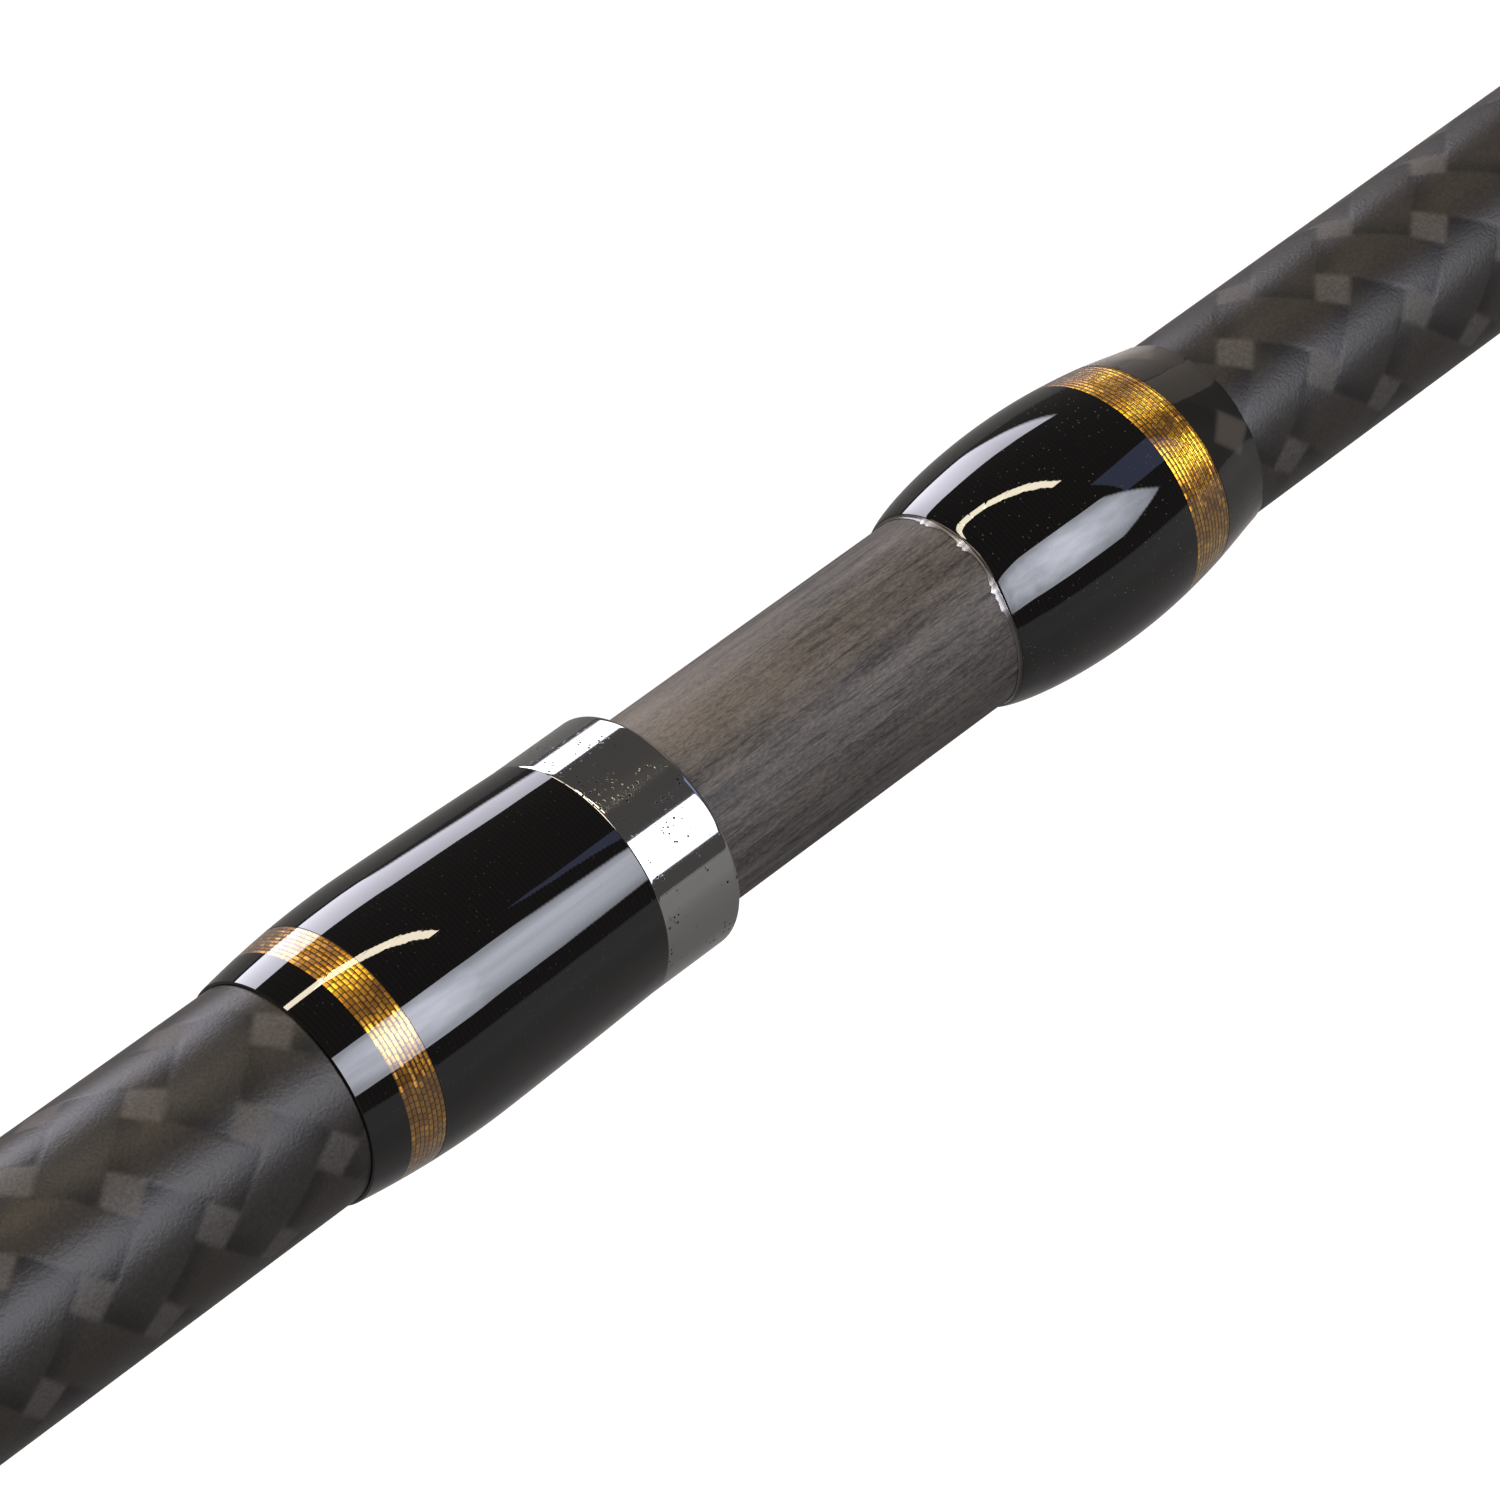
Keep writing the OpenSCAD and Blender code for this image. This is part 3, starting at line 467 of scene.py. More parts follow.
# Ground carbon: fibres cut lengthwise give a fine grey grain with short dark cuts and a dull sheen
ground_carbon, add, place = new_finish("ground_carbon")
xyz = add("SeparateXYZ", [place]).node.outputs
cut_fine = add("Mapping", {"Vector": place, "Scale": (0.3, 1, 1)})
cut_long = add("Mapping", {"Vector": place, "Scale": (0.07, 1, 1)})
grain = add("TexNoise", {"Vector": cut_fine, "Scale": 1 / (0.09 * MM), "Detail": 4.0, "Roughness": 0.7})
bundles = add("TexNoise", {"Vector": cut_long, "Scale": 1 / (0.45 * MM), "Detail": 3.0})
marks = add("Math MULTIPLY_ADD", [grain, 0.6, add("Math MULTIPLY", [bundles, 0.4])])
grey = add("ValToRGB", {"Fac": marks})
for stop, at, colour in zip(grey.node.color_ramp.elements, (0.36, 0.64), ("#1b1816", "#4c4640")):
    stop.position, stop.color = at, tint(colour)
cuts = add("TexNoise", {"Vector": cut_long, "Scale": 1 / (0.12 * MM), "Detail": 2.0})
cuts = add("MapRange", {"Value": cuts, "From Min": 0.34, "From Max": 0.46, "To Min": 0.4})
grey = add("MixRGB MULTIPLY", [1.0, grey, cuts])
# painted sheen: the upper side is painted paler over the first 14 mm that show past the socket's mouth, most on the
# raised grain
painted_sheen = add("MapRange", {"Value": xyz["X"], "From Min": mouth_x - 2 * MM, "From Max": mouth_x + 14 * MM,
                       "To Min": 0.8, "To Max": 0.0}, interpolation_type="SMOOTHSTEP")
toward = add("VectorMath DOT_PRODUCT", [place, (0, 0.26 / spigot_r, 0.966 / spigot_r)]).node.outputs["Value"]
lit_upper_side = add("MapRange", {"Value": toward, "From Min": 0.72, "From Max": 1.0})
raised = add("MapRange", {"Value": grain, "From Min": 0.35, "From Max": 0.6, "To Min": 0.45})
for share in (lit_upper_side, raised):
    painted_sheen = add("Math MULTIPLY", [painted_sheen, share])
wear_and_sheen = add("MixRGB", [painted_sheen, grey, "#5b544c"])
cut = add("Bump", {"Height": grain, "Distance": 0.008 * MM, "Strength": 0.5})
add("OutputMaterial", [add("BsdfPrincipled", {
    "Base Color": wear_and_sheen, "Roughness": 0.56, "Specular IOR Level": 0.22, "Normal": cut})])
dress(spigot, ground_carbon, "tip_section", ["male_spigot"])

# ---------------------------------------------------------------------------------------------------
# Tip blank: the front half of the rod, braided and lacquered as the butt is. It runs straight over the
# spigot's tenon and then tapers to the tip-top.

taper_x = shoulder_x + 50 * MM
tip_base_r, tip_end_r = 4.915 * MM, 1.3 * MM
tip_wall, tip_end_wall = 0.8 * MM, 0.7 * MM


def tip_r(x):
    """Outside radius of the tip blank at a place along the rod."""
    return tip_base_r + (tip_end_r - tip_base_r) * max(0, (x - taper_x) / (tip_end_x - taper_x))


tip_blank = turned(
    "tip_blank", [(x, tip_r(x)) for x in between(shoulder_x, taper_x, 6) + between(taper_x, tip_end_x, 40)[1:]]
    + [(tip_end_x, tip_end_r - tip_end_wall), (taper_x, tip_base_r - tip_wall), (shoulder_x, tip_base_r - tip_wall)],
    steps=128)
tip_tows = (5, 6.45 * MM, -0.165), (5, 7.12 * MM, 0.388)
tip_carbon = satin_braid("satin_braided_carbon_tip", *tip_tows, gloss=0.23)
dress(tip_blank, tip_carbon, "tip_section", ["tip_blank"])

# ---------------------------------------------------------------------------------------------------
# Tip winding: black thread and lacquer over the joint of spigot and tip blank, swollen like an egg, with
# a gold trim of eleven turns at its front end.

egg_x0, egg_rear, egg_r, egg_rim_drop = span("tip_winding")[0], 7.6 * MM, 6.175 * MM, 0.05 * MM
egg_peak_x = egg_x0 + egg_rear
skirt_end = span("tip_skirt")[1]
gold_x0, gold_x1 = span("tip_winding_trim")
creep_l, creep_turn, creep_spread, creep_reach = 0.4 * MM, 75, 42, 1.2 * MM


def tip_winding_r(x):
    """Outside of the tip winding's lacquer: an egg that runs out over the bare braid."""
    if x < egg_peak_x:
        rim, power, reach = spigot_r + winding_rim, 0.75, egg_peak_x - egg_x0
    else:
        rim, power, reach = tip_base_r + winding_rim, 1.15, skirt_end - egg_peak_x
    return rim + (egg_r - rim) * max(0, 1 - ((x - egg_peak_x) / reach) ** 2) ** power


gold_floor = tip_winding_r(gold_x1) - trim_depth
tip_winding = turned(
    "tip_winding",
    [(egg_x0, spigot_r + glue), (egg_x0, spigot_r + winding_rim - egg_rim_drop)]
    + [(x, tip_winding_r(x)) for x in [egg_x0 + egg_rear * (1 - math.cos(a)) for a in between(0.08, math.pi / 2, 40)]
       + between(egg_peak_x, gold_x0, 16)[1:]]
    + [(gold_x0, gold_floor), (gold_x1, gold_floor), (gold_x1, tip_base_r + glue),
       (shoulder_x, tip_base_r + glue), (shoulder_x, spigot_r + glue)], steps=192)


def crept(spot):
    """How far the lacquer's rear edge has crept down the spigot, which it did on one side only."""
    side = math.degrees(math.atan2(-spot.y, spot.z))
    return creep_l * math.exp(-((side - creep_turn) / creep_spread) ** 4)


for point in tip_winding.data.vertices:
    point.co.x -= crept(point.co) * max(0, 1 - (point.co.x - egg_x0) / creep_reach)
dress(tip_winding, black_thread, "tip_section", ["tip_winding"])

tip_trim = gold_turns("tip_winding_trim", gold_x0, gold_x1, tip_winding_r, gold_floor)
bright_gold = "#6b450c", "#b58218", "#ecc034"
tip_gold = metallic_thread("gold_foil_thread_tip", gold_x0, gold_x1, tip_winding_r, bright_gold)
dress(tip_trim, tip_gold, "tip_section", ["tip_winding_trim"])

# ---------------------------------------------------------------------------------------------------
# Lacquer lip: the thin rear edge of the tip winding's lacquer, which draws a hollow fillet on the bare spigot.
# Putting the rod together has chipped it milky and ragged at a few places.

lip_r, lip_hold, chip_l = 0.13 * MM, 0.3 * MM, 0.6 * MM
# each chip's turn from straight up towards the camera's side, its spread in degrees, and its size
lip_chips = (-14, 6, 0.42), (12, 4, 0.5), (41, 6, 0.46), (51, 4, 0.36), (128, 9, 0.4), (-112, 12, 0.4)
lip = turned("lacquer_lip", [(egg_x0 + lip_hold, spigot_r + glue)]
             + arc(egg_x0 - lip_r, spigot_r + glue + lip_r, lip_r, 270, 350, 8)
             + [(egg_x0 + lip_hold, spigot_r + glue + lip_r)], steps=288)
chips = lip.data.attributes.new("chip", "FLOAT", "POINT")
for point, chip in zip(lip.data.vertices, chips.data):
    angle = math.degrees(math.atan2(-point.co.y, point.co.z))
    run = sum(size * math.exp(-((angle - turn) / spread) ** 2) for turn, spread, size in lip_chips)
    tooth = 0.65 + 0.35 * math.sin(angle * 1.1) * math.sin(angle * 2.3 + 1)
    chip.value = 2 * run * tooth
    # only the thin edge of the film runs out
    thin = max(0, 1 - (point.co.x - egg_x0 + lip_r) / lip_r)
    point.co.x -= crept(point.co) + run * tooth * thin * chip_l

# Clear lacquer on grey carbon, crazed to a milky edge where it is chipped
milky, add, place = new_finish("chipped_clear_lacquer")
cloud = add("TexNoise", {"Vector": place, "Scale": 1 / (0.2 * MM), "Detail": 2.0})
haze = add("MixRGB", [cloud, "#6f6a69", "#d5d1d8"])
chip = add("Attribute", attribute_name="chip").node.outputs["Fac"]
film = add("MixRGB", [chip, "#35312e", haze])
crack = add("Bump", {"Height": cloud, "Distance": 0.02 * MM, "Strength": 0.4})
add("OutputMaterial", [add("BsdfPrincipled", {"Base Color": film, "Roughness": 0.2, "IOR": 1.5, "Normal": crack})])
dress(lip, milky, "tip_section", [])

# ---------------------------------------------------------------------------------------------------
# Clear skirt: the lacquer of the tip winding where it ran past the gold thread on to the bare braid. It
# wets the braid darker, and its front edge is ragged because it was brushed out by hand.

skirt_edge, skirt_rag = tip_base_r + glue, 0.55 * MM
skirt = turned(
    "tip_skirt", [(x, tip_winding_r(x)) for x in between(gold_x1, skirt_end - 0.02 * MM, 24)]
    + [(skirt_end, skirt_edge), (gold_x1, skirt_edge)], steps=256)
for point in skirt.data.vertices:
    share = max(0, (point.co.x - gold_x1) / (skirt_end - gold_x1))
    angle = math.atan2(point.co.y, point.co.z)
    rag = sum(math.sin(angle * k + 1.7 * k) / k ** 0.7 for k in (3, 5, 9, 14, 23)) / 2.2
    point.co.x -= share * skirt_rag * (0.55 + 0.45 * rag)

# Clear lacquer over carbon: the braid shows through it dark and wet, with a faint haze where it is seen edge on
wet_braid, add, place = new_finish("clear_lacquer_on_braid")
shows, height, dive, grain = braid(add, place, *tip_tows)
any_tow = add("Math ADD", shows)
# painted shade: each tow is painted darker where it dives under the next one
depth = add("MapRange", {"Value": dive, "From Min": -0.5, "From Max": 0.5, "To Min": 0.3, "To Max": 1.0})
shade = add("MixRGB", [any_tow, "#3b3630", "#080706"])
shade = add("MixRGB MULTIPLY", [1.0, shade, depth])
fibre = add("Bump", {"Height": height, "Distance": 0.05 * MM, "Strength": 0.5})
runs = add("TexNoise", {"Vector": place, "Scale": 1 / (1.8 * MM), "Detail": 1.5})
skin = add("Bump", {"Height": runs, "Distance": 0.05 * MM, "Strength": 0.5})
add("OutputMaterial", [add("BsdfPrincipled", {
    "Base Color": shade, "Roughness": 0.5, "Specular IOR Level": 0.05, "Normal": fibre,
    "Sheen Weight": 0.4, "Sheen Roughness": 0.3, "Sheen Tint": "#fff0e0",
    "Coat Weight": 1.0, "Coat Roughness": 0.03, "Coat IOR": 1.5, "Coat Normal": skin})])
dress(skirt, wet_braid, "tip_section", ["tip_skirt"])

# ---------------------------------------------------------------------------------------------------
# Butt cap: a moulded rubber cup, glued over the end of the blank. Its end is domed, and three shallow
# rings run round its side.

cap_x, cap_r, cap_round, cap_edge = span("butt_cap")[1], 12.9 * MM, 6 * MM, 0.5 * MM
groove_depth, groove_half, groove_floor_half = 0.35 * MM, 0.7 * MM, 0.4 * MM
cap_side = []
for x in (-131 * MM, -126.5 * MM, -122 * MM):
    cap_side += [(x - groove_half, cap_r), (x - groove_floor_half, cap_r - groove_depth),
                 (x + groove_floor_half, cap_r - groove_depth), (x + groove_half, cap_r)]
butt_cap = turned(
    "butt_cap", [(butt_x, 0.0)] + arc(butt_x + cap_round, cap_r - cap_round, cap_round, 180, 90, 16) + cap_side
    + arc(cap_x - cap_edge, cap_r - cap_edge, cap_edge, 90, 0)
    + [(cap_x, butt_r(cap_x) + glue), (blank_start, butt_r(blank_start) + glue), (blank_start, 0.0)], steps=128)


def plain_skin(add, tone_by, tones, rough_by, rough, relief, depth, strength, **sockets):
    """Ends a plain finish: two tones by one pattern, roughness by another, and a relief of some depth."""
    shade = add("MixRGB", [tone_by, *tones])
    rough = add("MapRange", {"Value": rough_by, "To Min": rough[0], "To Max": rough[1]})
    skin = add("Bump", {"Height": relief, "Distance": depth, "Strength": strength})
    add("OutputMaterial", [add("BsdfPrincipled", {"Base Color": shade, "Roughness": rough, "Normal": skin, **sockets})])


# Moulded rubber: dull black with the fine sparked grain of its mould, greyer where hands and floor rub it
rubber, add, place = new_finish("moulded_rubber")
mould = add("TexNoise", {"Vector": place, "Scale": 1 / (0.4 * MM), "Detail": 3.0})
rubbed = add("TexNoise", {"Vector": place, "Scale": 1 / (7 * MM), "Detail": 3.0})
plain_skin(add, rubbed, ("#121212", "#2a2928"), rubbed, (0.5, 0.78), mould, depth=0.06 * MM, strength=0.6, IOR=1.52)
dress(butt_cap, rubber, "butt_section", ["butt_cap"])

# ---------------------------------------------------------------------------------------------------
# Rear grip: a sleeve of EVA foam, bored, pushed over the glued blank and ground to shape on a lathe. It is
# straight where it is held and tapers towards the reel seat.

grip_x0, grip_x1 = span("rear_grip")
grip_r, grip_edge, grip_front_edge = 13.2 * MM, 1.5 * MM, 0.8 * MM
straight_x0, straight_x1 = -100 * MM, 108 * MM
# places and radii of the taper, in millimetres
grip_taper = (115, 13.16), (122, 12.9), (130, 12.48), (138, 12.12), (146, 11.84)


def bore(x0, x1):
    """The two ends of the inner wall of a sleeve that is glued on the butt blank."""
    return [(x1, butt_r(x1) + glue), (x0, butt_r(x0) + glue)]


rear_grip = turned(
    "rear_grip", arc(grip_x0 + grip_edge, grip_r - grip_edge, grip_edge, 180, 90)
    + [(x, grip_r) for x in between(straight_x0, straight_x1, 8)] + [(x * MM, r * MM) for x, r in grip_taper]
    + arc(grip_x1 - grip_front_edge, 10.9 * MM, grip_front_edge, 85, 0) + bore(grip_x0, grip_x1), steps=128)

# EVA foam: closed cells cut open by grinding, so it is black, dry and pitted like fine cork
foam, add, place = new_finish("eva_foam")
cells = add("TexVoronoi", {"Vector": place, "Scale": 1 / (0.45 * MM)})
open_cell = add("MapRange", {"Value": cells, "From Min": 0.15, "From Max": 0.5})
fuzz = add("TexNoise", {"Vector": place, "Scale": 1 / (0.25 * MM), "Detail": 3.0})
wear = add("TexNoise", {"Vector": place, "Scale": 1 / (18 * MM), "Detail": 4.0})
black = add("MixRGB", [wear, "#1a1a1a", "#2c2b2b"])
# painted shade: the open cells, low in the bump, are painted darker
shade = add("MixRGB", [open_cell, "#0d0d0d", black])
pitted = add("Bump", {"Height": open_cell, "Distance": 0.05 * MM, "Strength": 0.7})
dry = add("Bump", {"Height": fuzz, "Distance": 0.04 * MM, "Strength": 0.6, "Normal": pitted})
rough = add("MapRange", {"Value": wear, "To Min": 0.78, "To Max": 0.95})
add("OutputMaterial", [add("BsdfPrincipled", {
    "Base Color": shade, "Roughness": rough, "IOR": 1.45, "Specular IOR Level": 0.35, "Sheen Weight": 0.08,
    "Normal": dry})])
dress(rear_grip, foam, "butt_section", ["rear_grip"])

# ---------------------------------------------------------------------------------------------------
# Trim ring: a turned and plated collar between the rear grip and the reel seat, glued on the blank. Two
# fine beads are rolled into it.

collar_x0, collar_x1 = span("trim_ring")
collar_r, collar_edge, bead_half, bead_depth = 11.7 * MM, 0.5 * MM, 0.18 * MM, 0.16 * MM
beads = []
for x in (collar_x0 + 1.1 * MM, collar_x0 + 1.9 * MM):
    beads += [(x - bead_half, collar_r), (x, collar_r - bead_depth), (x + bead_half, collar_r)]
trim_ring = turned(
    "trim_ring", arc(collar_x0 + collar_edge, collar_r - collar_edge, collar_edge, 180, 90) + beads
    + arc(collar_x1 - collar_edge, collar_r - collar_edge, collar_edge, 90, 0) + bore(collar_x0, collar_x1), steps=128)
collar_plate = polished_metal("plated_collar", "#c4c4c3", pits=0.4)
dress(trim_ring, collar_plate, "butt_section", ["trim_ring"])

# ---------------------------------------------------------------------------------------------------
# Reel seat barrel: a moulded tube of carbon-filled nylon with a flat bed for the reel foot, a thread and a
# key groove. Hidden arbors of hard foam centre it on the blank.


def softened(node, edge):
    """A copy of a CAD node as a piece of its own, with its triangles joined and its sharp edges rounded."""
    piece = frame["nodes"][node].copy()
    piece.data = piece.data.copy()
    piece.parent = None
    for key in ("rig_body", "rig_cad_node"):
        del piece[key]
    bpy.context.scene.collection.objects.link(piece)
    bpy.ops.object.select_all(action="DESELECT")
    piece.select_set(True)
    bpy.context.view_layer.objects.active = piece
    bpy.ops.mesh.customdata_custom_splitnormals_clear()
    bpy.ops.object.mode_set(mode="EDIT")
    bpy.ops.mesh.select_all(action="SELECT")
    bpy.ops.mesh.remove_doubles(threshold=same_point)
    bpy.ops.mesh.dissolve_limited(angle_limit=math.radians(1))
    bpy.ops.object.mode_set(mode="OBJECT")
    round_off = piece.modifiers.new("rounded_edges", "BEVEL")
    round_off.width, round_off.segments = edge, 2
    round_off.limit_method, round_off.angle_limit = "ANGLE", math.radians(38)
    bpy.ops.object.modifier_apply(modifier=round_off.name)
    bpy.ops.object.shade_smooth_by_angle(angle=math.radians(38))
    return piece


seat_barrel = softened("seat_barrel", 0.12 * MM)

# Carbon-filled nylon: dark grey, half gloss, with short pale fibres drawn along the flow of the mould
nylon, add, place = new_finish("carbon_filled_nylon")
flow = add("Mapping", {"Vector": place, "Scale": (0.25, 1, 1)})
flecks = add("TexNoise", {"Vector": flow, "Scale": 1 / (0.3 * MM), "Detail": 2.0})
fleck = add("MapRange", {"Value": flecks, "From Min": 0.55, "From Max": 0.75})
plain_skin(add, fleck, ("#1b1b1c", "#39393b"), flecks, (0.3, 0.5), flecks, depth=0.02 * MM, strength=0.4, IOR=1.53)
dress(seat_barrel, nylon, "butt_section", ["seat_barrel"])

# Hard urethane foam: tan, dry and evenly pored
arbor_foam, add, place = new_finish("hard_urethane_foam")
pores = add("TexVoronoi", {"Vector": place, "Scale": 1 / (0.6 * MM)})
# painted shade: the pores, low in the bump, are painted darker
shade = add("MixRGB", [pores, "#8f7550", "#c6ad84"])
pored = add("Bump", {"Height": pores, "Distance": 0.1 * MM, "Strength": 0.6})
add("OutputMaterial", [add("BsdfPrincipled", {"Base Color": shade, "Roughness": 0.9, "Normal": pored})])
arbors = frame["nodes"]["seat_arbors"]
arbors.data.materials.clear()
arbors.data.materials.append(arbor_foam)

# ---------------------------------------------------------------------------------------------------
# Hoods and lock nut: turned and milled aluminium, tumbled, polished and anodised smoke grey. One hood is
# bonded on the barrel, and the fluted nut drives the other along the thread over the reel foot.

# Anodised aluminium: smoke-grey metal with faint lathe lines round it and brighter worn spots
anodised, add, place = new_finish("anodised_aluminium")
# lathe lines every 0.2 mm, twice as coarse as the real ones so that they show
run = add("SeparateXYZ", [place]).node.outputs["X"]
lathe = add("CombineXYZ", [add("Math MULTIPLY", [run, 1 / (0.2 * MM)])])
lines = add("TexNoise", {"Vector": lathe, "Scale": 1.0, "Detail": 1.0})
wear_and_sheen = add("TexNoise", {"Vector": place, "Scale": 1 / (4 * MM), "Detail": 3.0})
spots = add("MapRange", {"Value": wear_and_sheen, "From Min": 0.5, "From Max": 0.8})
plain_skin(add, spots, ("#4c4c50", "#58585c"), lines, (0.2, 0.38), lines, depth=0.004 * MM, strength=0.5, Metallic=1.0)

for node, body, edge in (("fixed_hood", "butt_section", 0.25), ("sliding_hood", "sliding_hood", 0.25),
                         ("lock_nut", "lock_nut", 0.2)):
    dress(softened(node, edge * MM), anodised, body, [node])

# ---------------------------------------------------------------------------------------------------
# Fore grip and winding check: a short EVA sleeve in front of the reel seat, ground to a taper, and the
# small plated ring that hides its front edge.

fore_x0, fore_x1 = span("fore_grip")
fore_r, fore_front_edge = 12 * MM, 0.5 * MM
# places and radii of the taper, in millimetres
fore_taper = ((290, 12), (302, 11.99), (310, 11.9), (319, 11.5), (328, 11.05), (337, 10.52), (347, 9.75), (356, 9.05))
fore_grip = turned(
    "fore_grip", arc(fore_x0 + grip_edge, fore_r - grip_edge, grip_edge, 180, 90)
    + [(x * MM, r * MM) for x, r in fore_taper]
    + arc(fore_x1 - fore_front_edge, 8.02 * MM, fore_front_edge, 75, 0) + bore(fore_x0, fore_x1), steps=128)
dress(fore_grip, foam, "butt_section", ["fore_grip"])

check_x0, check_x1 = span("winding_check")
check_r, check_end_r, check_edge = 8.3 * MM, butt_r(check_x1) + 0.6 * MM, 0.3 * MM
winding_check = turned(
    "winding_check", arc(check_x0 + check_edge, check_r - check_edge, check_edge, 180, 90)
    + [(check_x0 + 1.6 * MM, check_r), (check_x0 + 2.1 * MM, check_r - 0.03 * MM)]
    + arc(check_x1 - 0.3 * MM, check_end_r - 0.2 * MM, 0.25 * MM, 60, 0) + bore(check_x0, check_x1), steps=128)
dress(winding_check, collar_plate, "butt_section", ["winding_check"])

# ---------------------------------------------------------------------------------------------------
# Hook keeper: a stainless wire eye on two flat feet, bound to the blank with black thread, and a ring that
# swings in it to hold a hook.

keeper_x = 399 * MM
keeper_ring_low, keeper_ring_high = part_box("keeper_ring")
keeper_wire_r, keeper_eye_r = 0.45 * MM, 1.5 * MM
keeper_foot_h, keeper_foot_l, keeper_foot_w = 0.9 * MM, 9 * MM, 2 * MM
keeper_flat, keeper_toe_h, keeper_edge = 5 * MM, 0.35 * MM, 0.2 * MM
keeper_near, keeper_far = 3 * MM, 12 * MM
keeper_blank_r = butt_r(keeper_x)


def plate(name, outline, width, edge):
    """A flat bar cut to an outline of (place, height) points, width across the rod, with rounded edges."""
    rail = [Vector((x, -width / 2, z)) for x, z in outline]
    piece = drawn(name, rail + rail[:1])
    bpy.ops.mesh.remove_doubles(threshold=same_point)
    bpy.ops.mesh.edge_face_add()
    bpy.ops.mesh.extrude_region_move(TRANSFORM_OT_translate={"value": (0, width, 0)})
    bpy.ops.mesh.select_all(action="SELECT")
    bpy.ops.mesh.normals_make_consistent(inside=False)
    bpy.ops.object.mode_set(mode="OBJECT")
    round_off = piece.modifiers.new("rounded_edges", "BEVEL")
    round_off.width, round_off.segments, round_off.limit_method = edge, 3, "NONE"
    bpy.ops.object.modifier_apply(modifier=round_off.name)
    bpy.ops.object.shade_smooth_by_angle(angle=math.radians(40))
    return piece


def hoop(name, middle, around, radius, wire_r):
    """A closed ring of round wire, turned so that its axis lies along the rod or across it."""
    bpy.ops.object.select_all(action="DESELECT")
    bpy.ops.mesh.primitive_torus_add(major_radius=radius, minor_radius=wire_r, major_segments=64, minor_segments=20,
                                     location=middle, rotation=around)
    bpy.ops.object.transform_apply()
    piece = bpy.context.object
    piece.name = piece.data.name = name
    bpy.ops.object.shade_smooth_by_angle(angle=math.radians(60))
    return piece


def welded(name, *parts):
    """Joins parts into one piece."""
    bpy.ops.object.select_all(action="DESELECT")
    for part in parts:
        part.select_set(True)
    bpy.context.view_layer.objects.active = parts[0]
    if len(parts) > 1:
        bpy.ops.object.join()
    parts[0].name = parts[0].data.name = name
    return parts[0]


low = -(keeper_blank_r + keeper_foot_h)
toe = -(keeper_blank_r + keeper_toe_h)
bed = -(keeper_blank_r - keeper_foot_h)
keeper_feet = plate("keeper_feet", [
    (keeper_x - keeper_foot_l, toe), (keeper_x - keeper_flat, low), (keeper_x + keeper_flat, low),
    (keeper_x + keeper_foot_l, toe), (keeper_x + keeper_foot_l, bed), (keeper_x - keeper_foot_l, bed)],
    keeper_foot_w, keeper_edge)
keeper_eye = hoop("keeper_eye", (keeper_x, 0, low - keeper_eye_r), (math.pi / 2, 0, 0), keeper_eye_r, keeper_wire_r)
keeper_frame = welded("keeper_frame", keeper_feet, keeper_eye)

# Stainless steel: pale, tumble-polished, with fine scratches that run every way
stainless, add, place = new_finish("stainless_steel")
tumble = add("TexNoise", {"Vector": place, "Scale": 1 / (0.5 * MM), "Detail": 4.0})
haze = add("TexNoise", {"Vector": place, "Scale": 1 / (3 * MM), "Detail": 2.0})
plain_skin(add, haze, ("#9c9b99", "#c3c2bf"), tumble, (0.14, 0.34), tumble, depth=0.004 * MM, strength=0.5,
           Metallic=1.0)
dress(keeper_frame, stainless, "butt_section", ["keeper_frame"])

keeper_swing_r = (keeper_ring_high.y - keeper_ring_low.y) / 2 - keeper_wire_r
keeper_ring = hoop("keeper_ring", (keeper_ring_low + keeper_ring_high) / 2, (0, math.pi / 2, 0), keeper_swing_r,
                   keeper_wire_r)
dress(keeper_ring, stainless, "keeper_ring", ["keeper_ring"])


def blank_r(x):
    """Outside radius of whichever blank is at a place along the rod."""
    return butt_r(x) if x < mouth_x else tip_r(x)


winding_shift, winding_run, winding_t, winding_sink = 0.45 * MM, 2.2 * MM, 0.35 * MM, 0.1 * MM


def bound(name, x0, x1, shift=winding_shift):
    """A lacquered thread winding over a foot: its axis lies below the rod's, and its ends run out round."""
    r = max(blank_r(x0), blank_r(x1)) + winding_t + shift
    outline = []
    for x, way in ((x0, 1), (x1, -1)):
        rim = blank_r(x) - shift + winding_rim
        outline += [(x + way * winding_run * t, rim + (r - rim) * math.sin(t * math.pi / 2))
                    for t in between(0, 1, 10)[::way]]
    inside = [(x, blank_r(x) - shift - winding_sink) for x in (x1, x0)]
    return turned(name, outline + inside, steps=96, axis_z=-shift)


keeper_windings = welded(
    "keeper_windings", bound("keeper_winding_front", keeper_x + keeper_near, keeper_x + keeper_far),
    bound("keeper_winding_rear", keeper_x - keeper_far, keeper_x - keeper_near))
dress(keeper_windings, black_thread, "butt_section", ["keeper_windings"])

# ---------------------------------------------------------------------------------------------------
# Guides: a stamped and bent stainless frame with four legs on two feet, and a ceramic ring pressed into its
# hoop for the line. Each foot is bound with black thread and a few turns of gold at the inner end.

# size of each guide's ring and the height of its middle over the blank, in millimetres, from the reel to the tip
guide_sizes = [(30, 28), (20, 20.5), (16, 16.5), (12, 12.5), (10, 10.5), (10, 10.5), (10, 10.5)]
hoop_t, hoop_edge, ceramic_edge = 1.3 * MM, 0.3 * MM, 0.15 * MM
root_back, root_l, slope_l, slope_h, toe_h, foot_edge = 1 * MM, 1.2 * MM, 2.6 * MM, 0.8 * MM, 0.4 * MM, 0.22 * MM
front_angle, rear_angle = math.radians(50), math.radians(78)
guide_turns, trim_in, guide_trim_depth = 4, 3 * MM, 0.1 * MM

